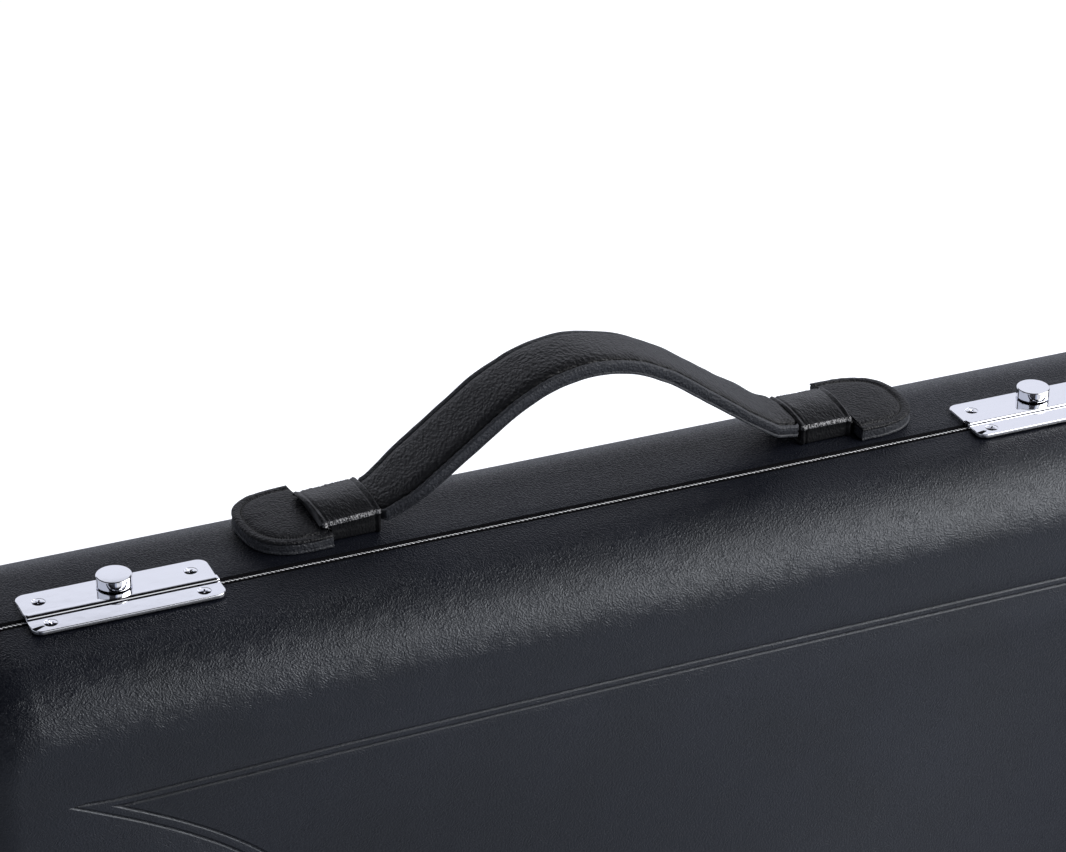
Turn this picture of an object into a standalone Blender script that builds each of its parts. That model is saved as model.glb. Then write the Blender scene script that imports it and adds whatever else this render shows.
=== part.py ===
"""Hard case for a clarinet: two leatherette shells hinged at the spine, closed by two push button latches,
with a sliding strap handle and a fitted interior. It stands on its spine, handle up.

Frame: X along the case, Y from the lid at the front to the base at the back, Z up from the feet.
Metres throughout."""

import math

import bmesh
import bpy
from mathutils import Vector

# Case
CASE_LENGTH = 0.406
CASE_HEIGHT = 0.250
LID_DEPTH = 0.036
BASE_DEPTH = 0.051
SHELL_WALL = 0.0035
PLAN_CORNER = 0.028
LID_FLAT = 0.009
LID_ROLL_DROP = 0.020
BASE_FLAT = 0.021
BASE_ROLL_DROP = 0.022
SEAM_GAP = 0.0006
EDGE_ROUND = 0.0009
FOOT_HEIGHT = 0.006

# Clearance between pieces that touch, and the overrun of a cut past the face that it opens
FIT = 0.0003
OVERRUN = 0.001

# Debossed lines on the lid's face
PANEL_END_MARGIN = 0.032
PANEL_TOP_MARGIN = 0.0352
PANEL_DROP = 0.0024
PANEL_APEX_SHARE = 0.646
PANEL_CORNER = 0.016
PANEL_TIP_RUN = 0.013
PANEL_TIP_LIFT = 0.0013
PANEL_WAIST_SHARE = 0.219
PANEL_TIP_ANGLE = 24.8
PANEL_TIP_REACH = 0.058
PANEL_WAIST_REACH = 0.045
PANEL_LINE_GAP = 0.0028
GROOVE_WIDTH = 0.0011
GROOVE_DEPTH = 0.0006

# Lining frame round the mouth of the base, and the blocks inside it
VALANCE_THICKNESS = 0.002
VALANCE_LIP = 0.004
VALANCE_ROUND = 0.0006
BLOCK_SETBACK = 0.003
BLOCK_GAP = 0.0005
LEFT_BLOCK_SHARE = 0.673
JOINT_WELL_RADIUS = 0.025
JOINT_WELL_AXIS = 0.012
JOINT_END_WEB = 0.007
WELL_WEB = 0.010
BELL_WELL_RADIUS = 0.039
BELL_SOCKET_RADIUS = 0.022
BELL_WELL_AXIS = 0.0035
BELL_NEAR_WEB = 0.0030
BELL_FAR_WEB = 0.0113
BELL_WEB = 0.009
BELL_FLARE = 1.8
BARREL_WELL_RADIUS = 0.018
BARREL_WELL_LENGTH = 0.072
MOUTHPIECE_WELL_RADIUS = 0.017
MOUTHPIECE_WELL_LENGTH = 0.100
SMALL_WELL_AXIS = 0.008
REED_WELL_HEIGHT = 0.040
REED_WELL_LENGTH = 0.100
REED_WELL_DEPTH = 0.022
SMALL_WEB = 0.008
TRAY_WALL = 0.008
TRAY_WELL_DEPTH = 0.034
TRAY_CORNER = 0.008

# Cushion in the lid
PAD_LENGTH_SHARE = 0.586
PAD_HEIGHT = 0.198
PAD_END_MARGIN = 0.0235
PAD_THICKNESS = 0.0095
PAD_CORNER = 0.014
PAD_PULL_IN = 0.0025
PAD_EDGE_HEIGHT = 0.0045
PAD_SHOULDER = 0.013

# Latches
LATCH_MARGIN = 0.033
LATCH_LENGTH = 0.054
PLATE_THICKNESS = 0.0008
PLATE_CORNER = 0.0034
BASE_PLATE_REACH = 0.0122
LID_PLATE_REACH = 0.0085
BEAD_RADIUS = 0.00143
BUTTON_Y = 0.00756
BUTTON_RADIUS = 0.00497
BUTTON_HEIGHT = 0.00343
BUTTON_LIFT = 0.00035
BUTTON_EDGE = 0.0003
STEM_RADIUS = 0.0020
LATCH_TRAVEL = 0.0026
SCREW_END_MARGIN = 0.00568
BASE_SCREW_Y = 0.00674
LID_SCREW_Y = 0.00494
HOUSING_LENGTH = 0.038
HOUSING_FRONT = 0.0025
HOUSING_REAR = 0.0115
HOUSING_DEPTH = 0.0057
HOUSING_SHEET = 0.0006
BOLT_LENGTH = 0.0304
BOLT_THICKNESS = 0.0012
BOLT_DROP = 0.0030
TOOTH_LENGTH = 0.0015
TOOTH_DEPTH = 0.0017
TOOTH_RISE = 0.0018
CATCH_SPACING = 0.019
CATCH_THICKNESS = 0.0012
CATCH_DROP = 0.0014
CATCH_REACH = 0.0075
CATCH_TONGUE_WIDTH = 0.004
CATCH_HEAD_WIDTH = 0.006
CATCH_HEAD_LENGTH = 0.002
CATCH_BAR_WIDTH = 0.0021
CATCH_BAR_BACK = 0.0029
CATCH_PASS_GAP = 0.0004
SPRING_RADIUS = 0.0011
SPRING_WIRE_RADIUS = 0.0002
SPRING_HEIGHT = 0.0036

# Screws, rivets
SCREW_HEAD_RADIUS = 0.0018
SCREW_SHANK_RADIUS = 0.0008
SCREW_DOME = 0.0003
SCREW_DOME_INSET = 0.0006
SCREW_GRIP = 0.0030
HINGE_HEAD_HEIGHT = 0.0006
RIVET_RADIUS = 0.0010
RIVET_SPACING = 0.012

# Handle
HANDLE_Y = 0.0187
SLEEVE_LENGTH = 0.0162
SLEEVE_WIDTH = 0.0215
SLEEVE_TOP_OUTER = 0.0058
SLEEVE_TOP_INNER = 0.0077
SLEEVE_SIDE_WALL = 0.0013
SLEEVE_CORNER = 0.0011
CHANNEL_FLOOR = 0.0020
CHANNEL_TOP = 0.0048
CHANNEL_CORNER = 0.0005
HANDLE_END_GAP = 0.0003
HANDLE_END_LENGTH = 0.0215
HANDLE_END_WIDTH = 0.0336
HANDLE_END_STRAIGHT = 0.003
HANDLE_END_BOTTOM = 0.0004
HANDLE_END_TOP = 0.0046
HANDLE_END_ROUND = 0.0003
LAYER_GROOVE = 0.0004
HANDLE_TRAVEL = 0.0095
HANDLE_LATCH_GAP = 0.0030
TONGUE_TOP = 0.0039
TONGUE_START = 0.0018
NECK_REACH = 0.0015
NECK_TOP = 0.0045
STRAP_WIDTH = 0.0260
STRAP_END_WIDTH = 0.0219
STRAP_TAPER_SHARE = 0.20
STRAP_SEAT = 0.0044
STRAP_RISE_SHARE = 0.517
STRAP_END_THICKNESS = 0.0032
STRAP_MID_THICKNESS = 0.0042
STRAP_SLOPE = 36.0
STRAP_FOOT_RADIUS = 0.0145
STITCH_MARGIN = 0.0023
STITCH_HALF_WIDTH = 0.0009
STITCH_DEPTH = 0.0004
STRAP_EDGE_ROUND = 0.0005
CROWN_RISE = 0.0008
CROWN_SHOULDER = 0.0035

# Hinges
HINGE_MARGIN = 0.093
HINGE_LENGTH = 0.050
HINGE_DROP = 0.0025
KNUCKLE_RADIUS = 0.0022
LEAF_THICKNESS = 0.0008
LEAF_REACH = 0.0125
PIN_CLEARANCE = 0.00008
PIN_HEAD_RADIUS = 0.0019
PIN_HEAD_LENGTH = 0.0008
KNUCKLE_GAP = 0.0003
HINGE_SCREW_Y = 0.0075
HINGE_SCREW_SPACING = 0.034
ROLL_ARC = 300.0

# Feet
FOOT_MARGIN = 0.043
LID_FOOT_Y = 0.015
BASE_FOOT_Y = 0.030
FOOT_RADIUS = 0.0070
FOOT_SOLE_RADIUS = 0.0046
STUD_RADIUS = 0.0016
STUD_LENGTH = 0.0026

# Counts
JOINT_ROWS = 2
ROLL_STEPS = 8
CORNER_STEPS = 6
EDGE_STEPS = 2
SMALL_CORNER_STEPS = 3
PLATE_CORNER_STEPS = 6
PAD_STEPS = 3
PANEL_TOP_STEPS = 10
PANEL_SIDE_STEPS = 9
PANEL_SEARCH_STEPS = 24
WELL_STEPS = 12
BELL_STATIONS = 7
ROUND_SIDES = 24
SCREW_SIDES = 12
FOOT_STEPS = 5
STRAP_STATIONS = 32
KNUCKLES = 5
ROLL_ARC_STEPS = 14
END_ARC_STEPS = 14
SPRING_TURNS = 3
SPRING_POINTS = 9
SMOOTH_ANGLE = 32.0
MM_PER_METRE = 1000

# Derived places
SEAM_Y = (LID_DEPTH - BASE_DEPTH) / 2
SPINE_Z = FOOT_HEIGHT
TOP_Z = FOOT_HEIGHT + CASE_HEIGHT
CENTRE_Z = FOOT_HEIGHT + CASE_HEIGHT / 2
PANEL_LEFT = PANEL_END_MARGIN - CASE_LENGTH / 2
PANEL_LENGTH = CASE_LENGTH - 2 * PANEL_END_MARGIN
PANEL_APEX = PANEL_LEFT + PANEL_APEX_SHARE * PANEL_LENGTH
PANEL_TOP = CASE_HEIGHT / 2 - PANEL_TOP_MARGIN
LATCH_X = CASE_LENGTH / 2 - LATCH_MARGIN - LATCH_LENGTH / 2
PLATE_TOP = FIT + PLATE_THICKNESS
VALANCE_INSET = SHELL_WALL + FIT
BLOCK_INSET = VALANCE_INSET + VALANCE_THICKNESS + FIT
BLOCK_BACK = BASE_DEPTH - SHELL_WALL - FIT
BLOCK_LEFT = -CASE_LENGTH / 2 + BLOCK_INSET
BLOCK_RIGHT = CASE_LENGTH / 2 - BLOCK_INSET
BLOCK_BOTTOM = SPINE_Z + BLOCK_INSET
BLOCK_TOP = TOP_Z - BLOCK_INSET
LEFT_BLOCK_LENGTH = LEFT_BLOCK_SHARE * (BLOCK_RIGHT - BLOCK_LEFT)
JOINT_WELL_LENGTH = LEFT_BLOCK_LENGTH - 2 * JOINT_END_WEB
JOINT_BLOCK_HEIGHT = 2 * JOINT_ROWS * JOINT_WELL_RADIUS + (JOINT_ROWS + 1) * WELL_WEB
BELL_BLOCK_HEIGHT = 2 * BELL_WELL_RADIUS + 2 * BELL_WEB
PAD_LENGTH = PAD_LENGTH_SHARE * CASE_LENGTH
PAD_X = PAD_END_MARGIN + PAD_LENGTH / 2 - CASE_LENGTH / 2
HINGE_Z = SPINE_Z - HINGE_DROP
PIN_RADIUS = KNUCKLE_RADIUS - LEAF_THICKNESS - PIN_CLEARANCE
HINGE_X = CASE_LENGTH / 2 - HINGE_MARGIN
FOOT_X = CASE_LENGTH / 2 - FOOT_MARGIN
HANDLE_REACH = LATCH_X - LATCH_LENGTH / 2 - HANDLE_LATCH_GAP - HANDLE_TRAVEL
HANDLE_END_X = HANDLE_REACH - HANDLE_END_LENGTH
SLEEVE_OUTER_X = HANDLE_END_X - HANDLE_END_GAP
SLEEVE_INNER_X = SLEEVE_OUTER_X - SLEEVE_LENGTH
STRAP_RISE = STRAP_RISE_SHARE * (SLEEVE_INNER_X - FIT)
LEFT, RIGHT = -1, 1
SIDE_NAMES = {LEFT: "left", RIGHT: "right"}
BASE_WAY, LID_WAY = 1, -1
SHELL_NAMES = {BASE_WAY: "base", LID_WAY: "lid"}
SHELL_FORMS = {
    BASE_WAY: (BASE_DEPTH, BASE_FLAT, BASE_ROLL_DROP),
    LID_WAY: (LID_DEPTH, LID_FLAT, LID_ROLL_DROP),
}


def linear(channel):
    """One channel of a display colour, 0 to 1, as a linear value."""
    return channel / 12.92 if channel <= 0.04045 else ((channel + 0.055) / 1.055) ** 2.4


def material(name, colour, roughness, metallic=0.0):
    """A plain Principled material from a display colour."""
    made = bpy.data.materials.new(name)
    made.use_nodes = True
    shader = made.node_tree.nodes["Principled BSDF"]
    shader.inputs["Base Color"].default_value = [*map(linear, colour), 1.0]
    shader.inputs["Roughness"].default_value = roughness
    shader.inputs["Metallic"].default_value = metallic
    return made


def place(obj, location, parent=None):
    """Puts an object at a place in the world, under a parent that isn't turned."""
    bpy.context.scene.collection.objects.link(obj)
    obj.parent = parent
    obj.location = Vector(location) - (parent.location if parent else Vector())
    return obj


def axis_empty(name, location):
    """An empty that marks the axis of a joint and carries what turns or slides on it."""
    return place(bpy.data.objects.new(name, None), location)


def to_mesh(name, bm):
    """The finished mesh of a bmesh, faces pointing out, round stretches smooth."""
    bmesh.ops.recalc_face_normals(bm, faces=bm.faces)
    mesh = bpy.data.meshes.new(name)
    bm.to_mesh(mesh)
    bm.free()
    mesh.shade_smooth()
    mesh.set_sharp_from_angle(angle=math.radians(SMOOTH_ANGLE))
    return mesh


def solid(name, bm, finish, location, parent=None):
    """A named piece with its own material."""
    obj = bpy.data.objects.new(name, to_mesh(name, bm))
    obj.data.materials.append(finish)
    return place(obj, location, parent)


def combine(target, operation, bm, location):
    """Cuts a shape from a piece, adds it or keeps what they share. The shape stays as a hidden guide."""
    name = f"{target.name}_{operation.lower()}_{len(target.modifiers)}"
    guide = place(bpy.data.objects.new(name, to_mesh(name, bm)), location)
    guide.hide_render = True
    guide.display_type = "WIRE"
    modifier = target.modifiers.new(operation.lower(), "BOOLEAN")
    modifier.operation = operation
    modifier.solver = "EXACT"
    modifier.object = guide
    return target


def loft(bm, loops, ring=False):
    """Skins loops of equal length, one to the next. The ends are capped, or joined in a ring."""
    rows = [[bm.verts.new(point) for point in loop] for loop in loops]
    pairs = list(zip(rows, rows[1:]))
    if ring:
        pairs.append((rows[-1], rows[0]))
    else:
        bm.faces.new(rows[0])
        bm.faces.new(rows[-1])
    for low, high in pairs:
        for here, there in zip(range(len(low)), [*range(1, len(low)), 0]):
            bm.faces.new((low[here], low[there], high[there], high[here]))
    return bm


def lay(outline, axis, height):
    """A flat outline set square to an axis, at a height along it. Its two values are the other two axes."""
    if axis == "Z":
        return [(u, v, height) for u, v in outline]
    if axis == "Y":
        return [(u, height, v) for u, v in outline]
    return [(height, u, v) for u, v in outline]


def prism(bm, outline, axis, low, high):
    """A closed solid of one outline."""
    return loft(bm, [lay(outline, axis, low), lay(outline, axis, high)])


def box_outline(low_u, high_u, low_v, high_v):
    return [(low_u, low_v), (high_u, low_v), (high_u, high_v), (low_u, high_v)]


def box(bm, low, high):
    """A block between two corners."""
    return prism(bm, box_outline(low[0], high[0], low[1], high[1]), "Z", low[2], high[2])


def arc(centre, radius, start, end, steps):
    """Points on an arc, angles in degrees."""
    turns = [math.radians(start + (end - start) * step / steps) for step in range(steps + 1)]
    return [(centre[0] + radius * math.cos(turn), centre[1] + radius * math.sin(turn)) for turn in turns]


def circle(radius, sides, centre=(0, 0)):
    return arc(centre, radius, 0, 360, sides)[:-1]


def rounded_box(half_u, half_v, radius, steps, centre=(0, 0)):
    """A rectangle with round corners."""
    points = []
    for quarter, (u, v) in enumerate(((1, 1), (-1, 1), (-1, -1), (1, -1))):
        middle = (centre[0] + u * (half_u - radius), centre[1] + v * (half_v - radius))
        points += arc(middle, radius, quarter * 90, quarter * 90 + 90, steps)
    return points


def turned(bm, profile, sides, centre=(0, 0)):
    """A solid of revolution about Z, from (radius, height) pairs."""
    return loft(bm, [lay(circle(radius, sides, centre), "Z", height) for radius, height in profile])


def case_outline(inset):
    """The case's outline seen from the front, drawn in by an inset, about its centre."""
    half_x = CASE_LENGTH / 2 - inset
    half_z = CASE_HEIGHT / 2 - inset
    return rounded_box(half_x, half_z, PLAN_CORNER - inset, CORNER_STEPS)


def roll(flat, depth, drop, step):
    """Depth and inset on the rolled edge between the side and the face: a quarter of an ellipse."""
    turn = math.radians(90 * step / ROLL_STEPS)
    return flat + (depth - flat) * math.sin(turn), drop * (1 - math.cos(turn))


def rim(setback, inset, radius):
    """Depth and inset round the outer edge of a mouth."""
    return arc((setback + radius, inset + radius), radius, -90, -180, EDGE_STEPS)


def shell(facing, finish, parent=None):
    """The base, a tray with rolled edges that opens to the front, or the lid, which opens to the back."""
    depth, flat, drop = SHELL_FORMS[facing]
    outer = [roll(flat, depth, drop, step) for step in range(ROLL_STEPS, -1, -1)]
    inner_steps = [roll(flat, depth - SHELL_WALL, drop - SHELL_WALL, step) for step in range(ROLL_STEPS + 1)]
    inner = [(back, inset + SHELL_WALL) for back, inset in inner_steps]
    section = outer + rim(SEAM_GAP / 2, 0, EDGE_ROUND) + [(SEAM_GAP / 2, SHELL_WALL)] + inner
    bm = bmesh.new()
    loft(bm, [lay(case_outline(inset), "Y", facing * back) for back, inset in section])
    return solid(f"{SHELL_NAMES[facing]}_shell", bm, finish, (0, SEAM_Y, CENTRE_Z), parent)


def panel_top(x):
    """Height of the panel's upper line above the middle. It falls to the left and lifts to the tip."""
    fall = max(0, (PANEL_APEX - x) / (PANEL_APEX - PANEL_LEFT))
    lift = max(0, (PANEL_LEFT + PANEL_TIP_RUN - x) / PANEL_TIP_RUN)
    return PANEL_TOP - PANEL_DROP * fall**2 + PANEL_TIP_LIFT * lift


def panel_end(share, inset):
    """A point of the swept left end, from the tip at 0 to the waist at 1, moved inwards."""
    turn = math.radians(PANEL_TIP_ANGLE)
    tip = Vector((PANEL_LEFT, panel_top(PANEL_LEFT)))
    waist = Vector((PANEL_LEFT + PANEL_WAIST_SHARE * PANEL_LENGTH, 0))
    first = tip + PANEL_TIP_REACH * Vector((math.cos(turn), -math.sin(turn)))
    second = waist + Vector((0, PANEL_WAIST_REACH))
    rest = 1 - share
    point = rest**3 * tip + 3 * rest**2 * share * first + 3 * rest * share**2 * second + share**3 * waist
    slope = rest**2 * (first - tip) + 2 * rest * share * (second - first) + share**2 * (waist - second)
    way = slope.normalized()
    return point + inset * Vector((-way.y, way.x))


def panel_outline(inset):
    """The panel on the lid's face, moved inwards: round corners on the right, a swept end on the left."""
    low, high = 0, 1
    for _ in range(PANEL_SEARCH_STEPS):
        share = (low + high) / 2
        point = panel_end(share, inset)
        if point.y > panel_top(point.x) - inset:
            low = share
        else:
            high = share
    half = []
    for step in range(PANEL_SIDE_STEPS):
        half.append(panel_end(high + (1 - high) * step / PANEL_SIDE_STEPS, inset))
    tip = half[0]
    half.reverse()
    corner_x = PANEL_LEFT + PANEL_LENGTH - PANEL_CORNER
    for step in range(1, PANEL_TOP_STEPS):
        x = tip.x + (corner_x - tip.x) * step / PANEL_TOP_STEPS
        half.append((x, panel_top(x) - inset))
    half += arc((corner_x, PANEL_TOP - PANEL_CORNER), PANEL_CORNER - inset, 90, 0, CORNER_STEPS)
    return [panel_end(1, inset), *half, *[(x, -y) for x, y in reversed(half)]]


def groove(bm, inset):
    """A closed groove of V section in the lid's face, as a cutter."""
    half = GROOVE_WIDTH / 2
    section = [(half, OVERRUN), (half, 0), (0, -GROOVE_DEPTH), (-half, 0), (-half, OVERRUN)]
    loops = [lay(panel_outline(inset + side), "Y", -LID_DEPTH - rise) for side, rise in section]
    return loft(bm, loops, ring=True)


def cut_panel_lines(lid):
    """The double line round the panel."""
    bm = groove(bmesh.new(), 0)
    groove(bm, PANEL_LINE_GAP)
    combine(lid, "DIFFERENCE", bm, (0, SEAM_Y, CENTRE_Z))


def latch_places():
    """The centre of each latch, on the seam at the top face."""
    return {side: (side * LATCH_X, SEAM_Y, TOP_Z) for side in (LEFT, RIGHT)}


def latch_screw_places(facing):
    """The screws of one latch on one shell, from the latch's centre: the left one, then the right one."""
    half = LATCH_LENGTH / 2 - SCREW_END_MARGIN
    depth = BASE_SCREW_Y if facing == BASE_WAY else -LID_SCREW_Y
    return {side: (side * half, depth) for side in (LEFT, RIGHT)}


def shank_holes(bm, places, low, high):
    """Round holes along Z for the shanks of screws."""
    for centre in places:
        prism(bm, circle(SCREW_SHANK_RADIUS + FIT, SCREW_SIDES, centre), "Z", low, high)
    return bm


def catch_windows(bm, low_y, high_y):
    """The ways through the seam for the heads of the two catches."""
    half = CATCH_HEAD_WIDTH / 2 + CATCH_PASS_GAP
    low_z = -CATCH_DROP - CATCH_THICKNESS - CATCH_PASS_GAP
    high_z = -CATCH_DROP + CATCH_PASS_GAP
    for centre in (-CATCH_SPACING / 2, CATCH_SPACING / 2):
        box(bm, (centre - half, low_y, low_z), (centre + half, high_y, high_z))
    return bm


def housing_room(bm, low_z):
    """The space of a latch housing with its clearance, cut from above."""
    half = HOUSING_LENGTH / 2 + FIT
    return box(bm, (-half, HOUSING_FRONT - FIT, low_z), (half, HOUSING_REAR + FIT, OVERRUN))


def cut_base_shell(base):
    """Openings in the base for the latch housings, catches, screws, rivets, hinges and feet."""
    low = -SHELL_WALL - OVERRUN
    for location in latch_places().values():
        bm = bmesh.new()
        housing_room(bm, low)
        combine(base, "DIFFERENCE", bm, location)
        bm = catch_windows(bmesh.new(), -OVERRUN, HOUSING_FRONT)
        combine(base, "DIFFERENCE", bm, location)
        holes = shank_holes(bmesh.new(), latch_screw_places(BASE_WAY).values(), low, OVERRUN)
        combine(base, "DIFFERENCE", holes, location)
    bm = bmesh.new()
    for side in (LEFT, RIGHT):
        for centre in rivet_places(side).values():
            prism(bm, circle(RIVET_RADIUS + FIT, SCREW_SIDES, centre), "Z", low, OVERRUN)
    combine(base, "DIFFERENCE", bm, (0, SEAM_Y, TOP_Z))
    cut_spine(base, BASE_WAY)


def cut_lid_shell(lid):
    """The mortises for the catches, and the holes for screws and feet."""
    half = catch_bar_half() + FIT
    low = -CATCH_DROP - CATCH_THICKNESS - FIT
    back = -CATCH_BAR_BACK - CATCH_BAR_WIDTH - FIT
    for location in latch_places().values():
        bm = box(bmesh.new(), (-half, back, low), (half, OVERRUN, -CATCH_DROP + FIT))
        combine(lid, "DIFFERENCE", bm, location)
        places = latch_screw_places(LID_WAY).values()
        holes = shank_holes(bmesh.new(), places, -SHELL_WALL - OVERRUN, OVERRUN)
        combine(lid, "DIFFERENCE", holes, location)
    cut_spine(lid, LID_WAY)


def cut_spine(shell_piece, facing):
    """Holes in the spine for hinge screws and foot studs."""
    high = SHELL_WALL + OVERRUN
    bm = bmesh.new()
    for side in (LEFT, RIGHT):
        places = [(side * HINGE_X + x, y) for x, y in hinge_screw_places(facing).values()]
        shank_holes(bm, places, -OVERRUN, high)
        prism(bm, circle(STUD_RADIUS + FIT, SCREW_SIDES, foot_place(side, facing)), "Z", -OVERRUN, high)
    combine(shell_piece, "DIFFERENCE", bm, (0, SEAM_Y, SPINE_Z))


def valance(finish):
    """The lining frame: a rounded ring inside the base's mouth whose lip stands into the lid."""
    inner = VALANCE_INSET + VALANCE_THICKNESS
    edge = VALANCE_ROUND
    lip = -VALANCE_LIP
    outer_edge = [(lip + edge, VALANCE_INSET), (lip, VALANCE_INSET + edge)]
    inner_edge = [(lip, inner - edge), (lip + edge, inner)]
    section = [(BASE_FLAT, VALANCE_INSET), *outer_edge, *inner_edge, (BASE_FLAT, inner)]
    bm = bmesh.new()
    loft(bm, [lay(case_outline(inset), "Y", back) for back, inset in section], ring=True)
    ring = solid("valance_frame", bm, finish, (0, SEAM_Y, CENTRE_Z))
    for location in latch_places().values():
        room = housing_room(bmesh.new(), -BLOCK_INSET + FIT / 2)
        combine(ring, "DIFFERENCE", room, location)
    return ring


def block_space(bm):
    """All the room for blocks inside the base, clear of the valance and of the rolled back edge."""
    section = [(BLOCK_SETBACK, BLOCK_INSET)]
    for step in range(ROLL_STEPS + 1):
        back, inset = roll(BASE_FLAT, BLOCK_BACK, BASE_ROLL_DROP - SHELL_WALL, step)
        section.append((back, max(BLOCK_INSET, inset + SHELL_WALL + FIT)))
    return loft(bm, [lay(case_outline(inset), "Y", back) for back, inset in section])


def block(name, low, high, finish):
    """One block of the interior: what the base's room shares with a range of x and z."""
    piece = solid(name, block_space(bmesh.new()), finish, (0, SEAM_Y, CENTRE_Z))
    wide = BASE_DEPTH
    corners = (low[0], -wide, low[1]), (high[0], wide, high[1])
    return combine(piece, "INTERSECT", box(bmesh.new(), *corners), (0, SEAM_Y, 0))


def well(bm, stations, centre_z, axis_depth):
    """A trough that opens to the front, round below its axis, from (x, radius) stations."""
    axis_y = BLOCK_SETBACK + axis_depth
    loops = []
    for x, radius in stations:
        below = arc((axis_y, centre_z), radius, 90, -90, WELL_STEPS)
        front = [(-OVERRUN, centre_z - radius), (-OVERRUN, centre_z + radius)]
        loops.append(lay(below + front, "X", x))
    return loft(bm, loops)


def plain_well(bm, low_x, length, radius, centre_z, axis_depth):
    return well(bm, [(low_x, radius), (low_x + length, radius)], centre_z, axis_depth)


def joint_block(finish):
    """The block for the lower and the upper joint."""
    right = BLOCK_LEFT + LEFT_BLOCK_LENGTH
    top = BLOCK_BOTTOM + JOINT_BLOCK_HEIGHT
    piece = block("joint_block", (-CASE_LENGTH, 0), (right, top), finish)
    start = BLOCK_LEFT + JOINT_END_WEB
    bm = bmesh.new()
    pitch = 2 * JOINT_WELL_RADIUS + WELL_WEB
    for row in range(JOINT_ROWS):
        centre_z = BLOCK_BOTTOM + WELL_WEB + JOINT_WELL_RADIUS + row * pitch
        plain_well(bm, start, JOINT_WELL_LENGTH, JOINT_WELL_RADIUS, centre_z, JOINT_WELL_AXIS)
    return combine(piece, "DIFFERENCE", bm, (0, SEAM_Y, 0))


def bell_block(finish):
    """The block for the bell, whose well widens with the bell's flare."""
    left = BLOCK_LEFT + LEFT_BLOCK_LENGTH + BLOCK_GAP
    top = BLOCK_BOTTOM + BELL_BLOCK_HEIGHT
    piece = block("bell_block", (left, 0), (CASE_LENGTH, top), finish)
    start = left + BELL_NEAR_WEB
    length = BLOCK_RIGHT - BELL_FAR_WEB - start
    stations = []
    for step in range(BELL_STATIONS):
        share = step / (BELL_STATIONS - 1)
        radius = BELL_SOCKET_RADIUS + (BELL_WELL_RADIUS - BELL_SOCKET_RADIUS) * share**BELL_FLARE
        stations.append((start + length * share, radius))
    centre_z = BLOCK_BOTTOM + BELL_BLOCK_HEIGHT / 2
    bm = well(bmesh.new(), stations, centre_z, BELL_WELL_AXIS)
    return combine(piece, "DIFFERENCE", bm, (0, SEAM_Y, 0))


def small_parts_block(finish):
    """The block for the barrel, the mouthpiece and a reed case."""
    left = BLOCK_LEFT + LEFT_BLOCK_LENGTH + BLOCK_GAP
    bottom = BLOCK_BOTTOM + BELL_BLOCK_HEIGHT + BLOCK_GAP
    piece = block("small_parts_block", (left, bottom), (CASE_LENGTH, TOP_Z), finish)
    middle = (left + BLOCK_RIGHT) / 2
    bm = bmesh.new()
    barrel_z = bottom + SMALL_WEB + BARREL_WELL_RADIUS
    start = middle - BARREL_WELL_LENGTH / 2
    plain_well(bm, start, BARREL_WELL_LENGTH, BARREL_WELL_RADIUS, barrel_z, SMALL_WELL_AXIS)
    mouth_z = barrel_z + BARREL_WELL_RADIUS + SMALL_WEB + MOUTHPIECE_WELL_RADIUS
    start = middle - MOUTHPIECE_WELL_LENGTH / 2
    plain_well(bm, start, MOUTHPIECE_WELL_LENGTH, MOUTHPIECE_WELL_RADIUS, mouth_z, SMALL_WELL_AXIS)
    reed_z = mouth_z + MOUTHPIECE_WELL_RADIUS + SMALL_WEB + REED_WELL_HEIGHT / 2
    half = REED_WELL_LENGTH / 2, REED_WELL_HEIGHT / 2
    outline = rounded_box(*half, TRAY_CORNER, SMALL_CORNER_STEPS, (middle, reed_z))
    prism(bm, outline, "Y", -OVERRUN, BLOCK_SETBACK + REED_WELL_DEPTH)
    return combine(piece, "DIFFERENCE", bm, (0, SEAM_Y, 0))


def accessory_tray(finish):
    """The tray for a swab, grease and tools."""
    right = BLOCK_LEFT + LEFT_BLOCK_LENGTH
    bottom = BLOCK_BOTTOM + JOINT_BLOCK_HEIGHT + BLOCK_GAP
    piece = block("accessory_tray", (-CASE_LENGTH, bottom), (right, TOP_Z), finish)
    half = (LEFT_BLOCK_LENGTH / 2 - TRAY_WALL, (BLOCK_TOP - bottom) / 2 - TRAY_WALL)
    centre = ((BLOCK_LEFT + right) / 2, (bottom + BLOCK_TOP) / 2)
    outline = rounded_box(*half, TRAY_CORNER, SMALL_CORNER_STEPS, centre)
    bm = prism(bmesh.new(), outline, "Y", -OVERRUN, BLOCK_SETBACK + TRAY_WELL_DEPTH)
    return combine(piece, "DIFFERENCE", bm, (0, SEAM_Y, 0))


def lid_pad(finish, parent):
    """The cushion in the lid: crowned, with sides that pull in where it is glued down."""
    seat = -(LID_DEPTH - SHELL_WALL - FIT)
    half = PAD_LENGTH / 2, PAD_HEIGHT / 2
    section = [(0, PAD_PULL_IN), (PAD_EDGE_HEIGHT / 2, 0), (PAD_EDGE_HEIGHT, PAD_PULL_IN / 2)]
    for step in range(1, PAD_STEPS + 1):
        turn = math.radians(90 * step / PAD_STEPS)
        rise = PAD_EDGE_HEIGHT + (PAD_THICKNESS - PAD_EDGE_HEIGHT) * math.sin(turn)
        section.append((rise, PAD_PULL_IN / 2 + (PAD_SHOULDER - PAD_PULL_IN) * (1 - math.cos(turn))))
    loops = []
    for rise, inset in section:
        outline = rounded_box(half[0] - inset, half[1] - inset, PAD_CORNER - inset, CORNER_STEPS)
        loops.append(lay(outline, "Y", seat + rise))
    return solid("lid_pad", loft(bmesh.new(), loops), finish, (PAD_X, SEAM_Y, CENTRE_Z), parent)


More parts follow.
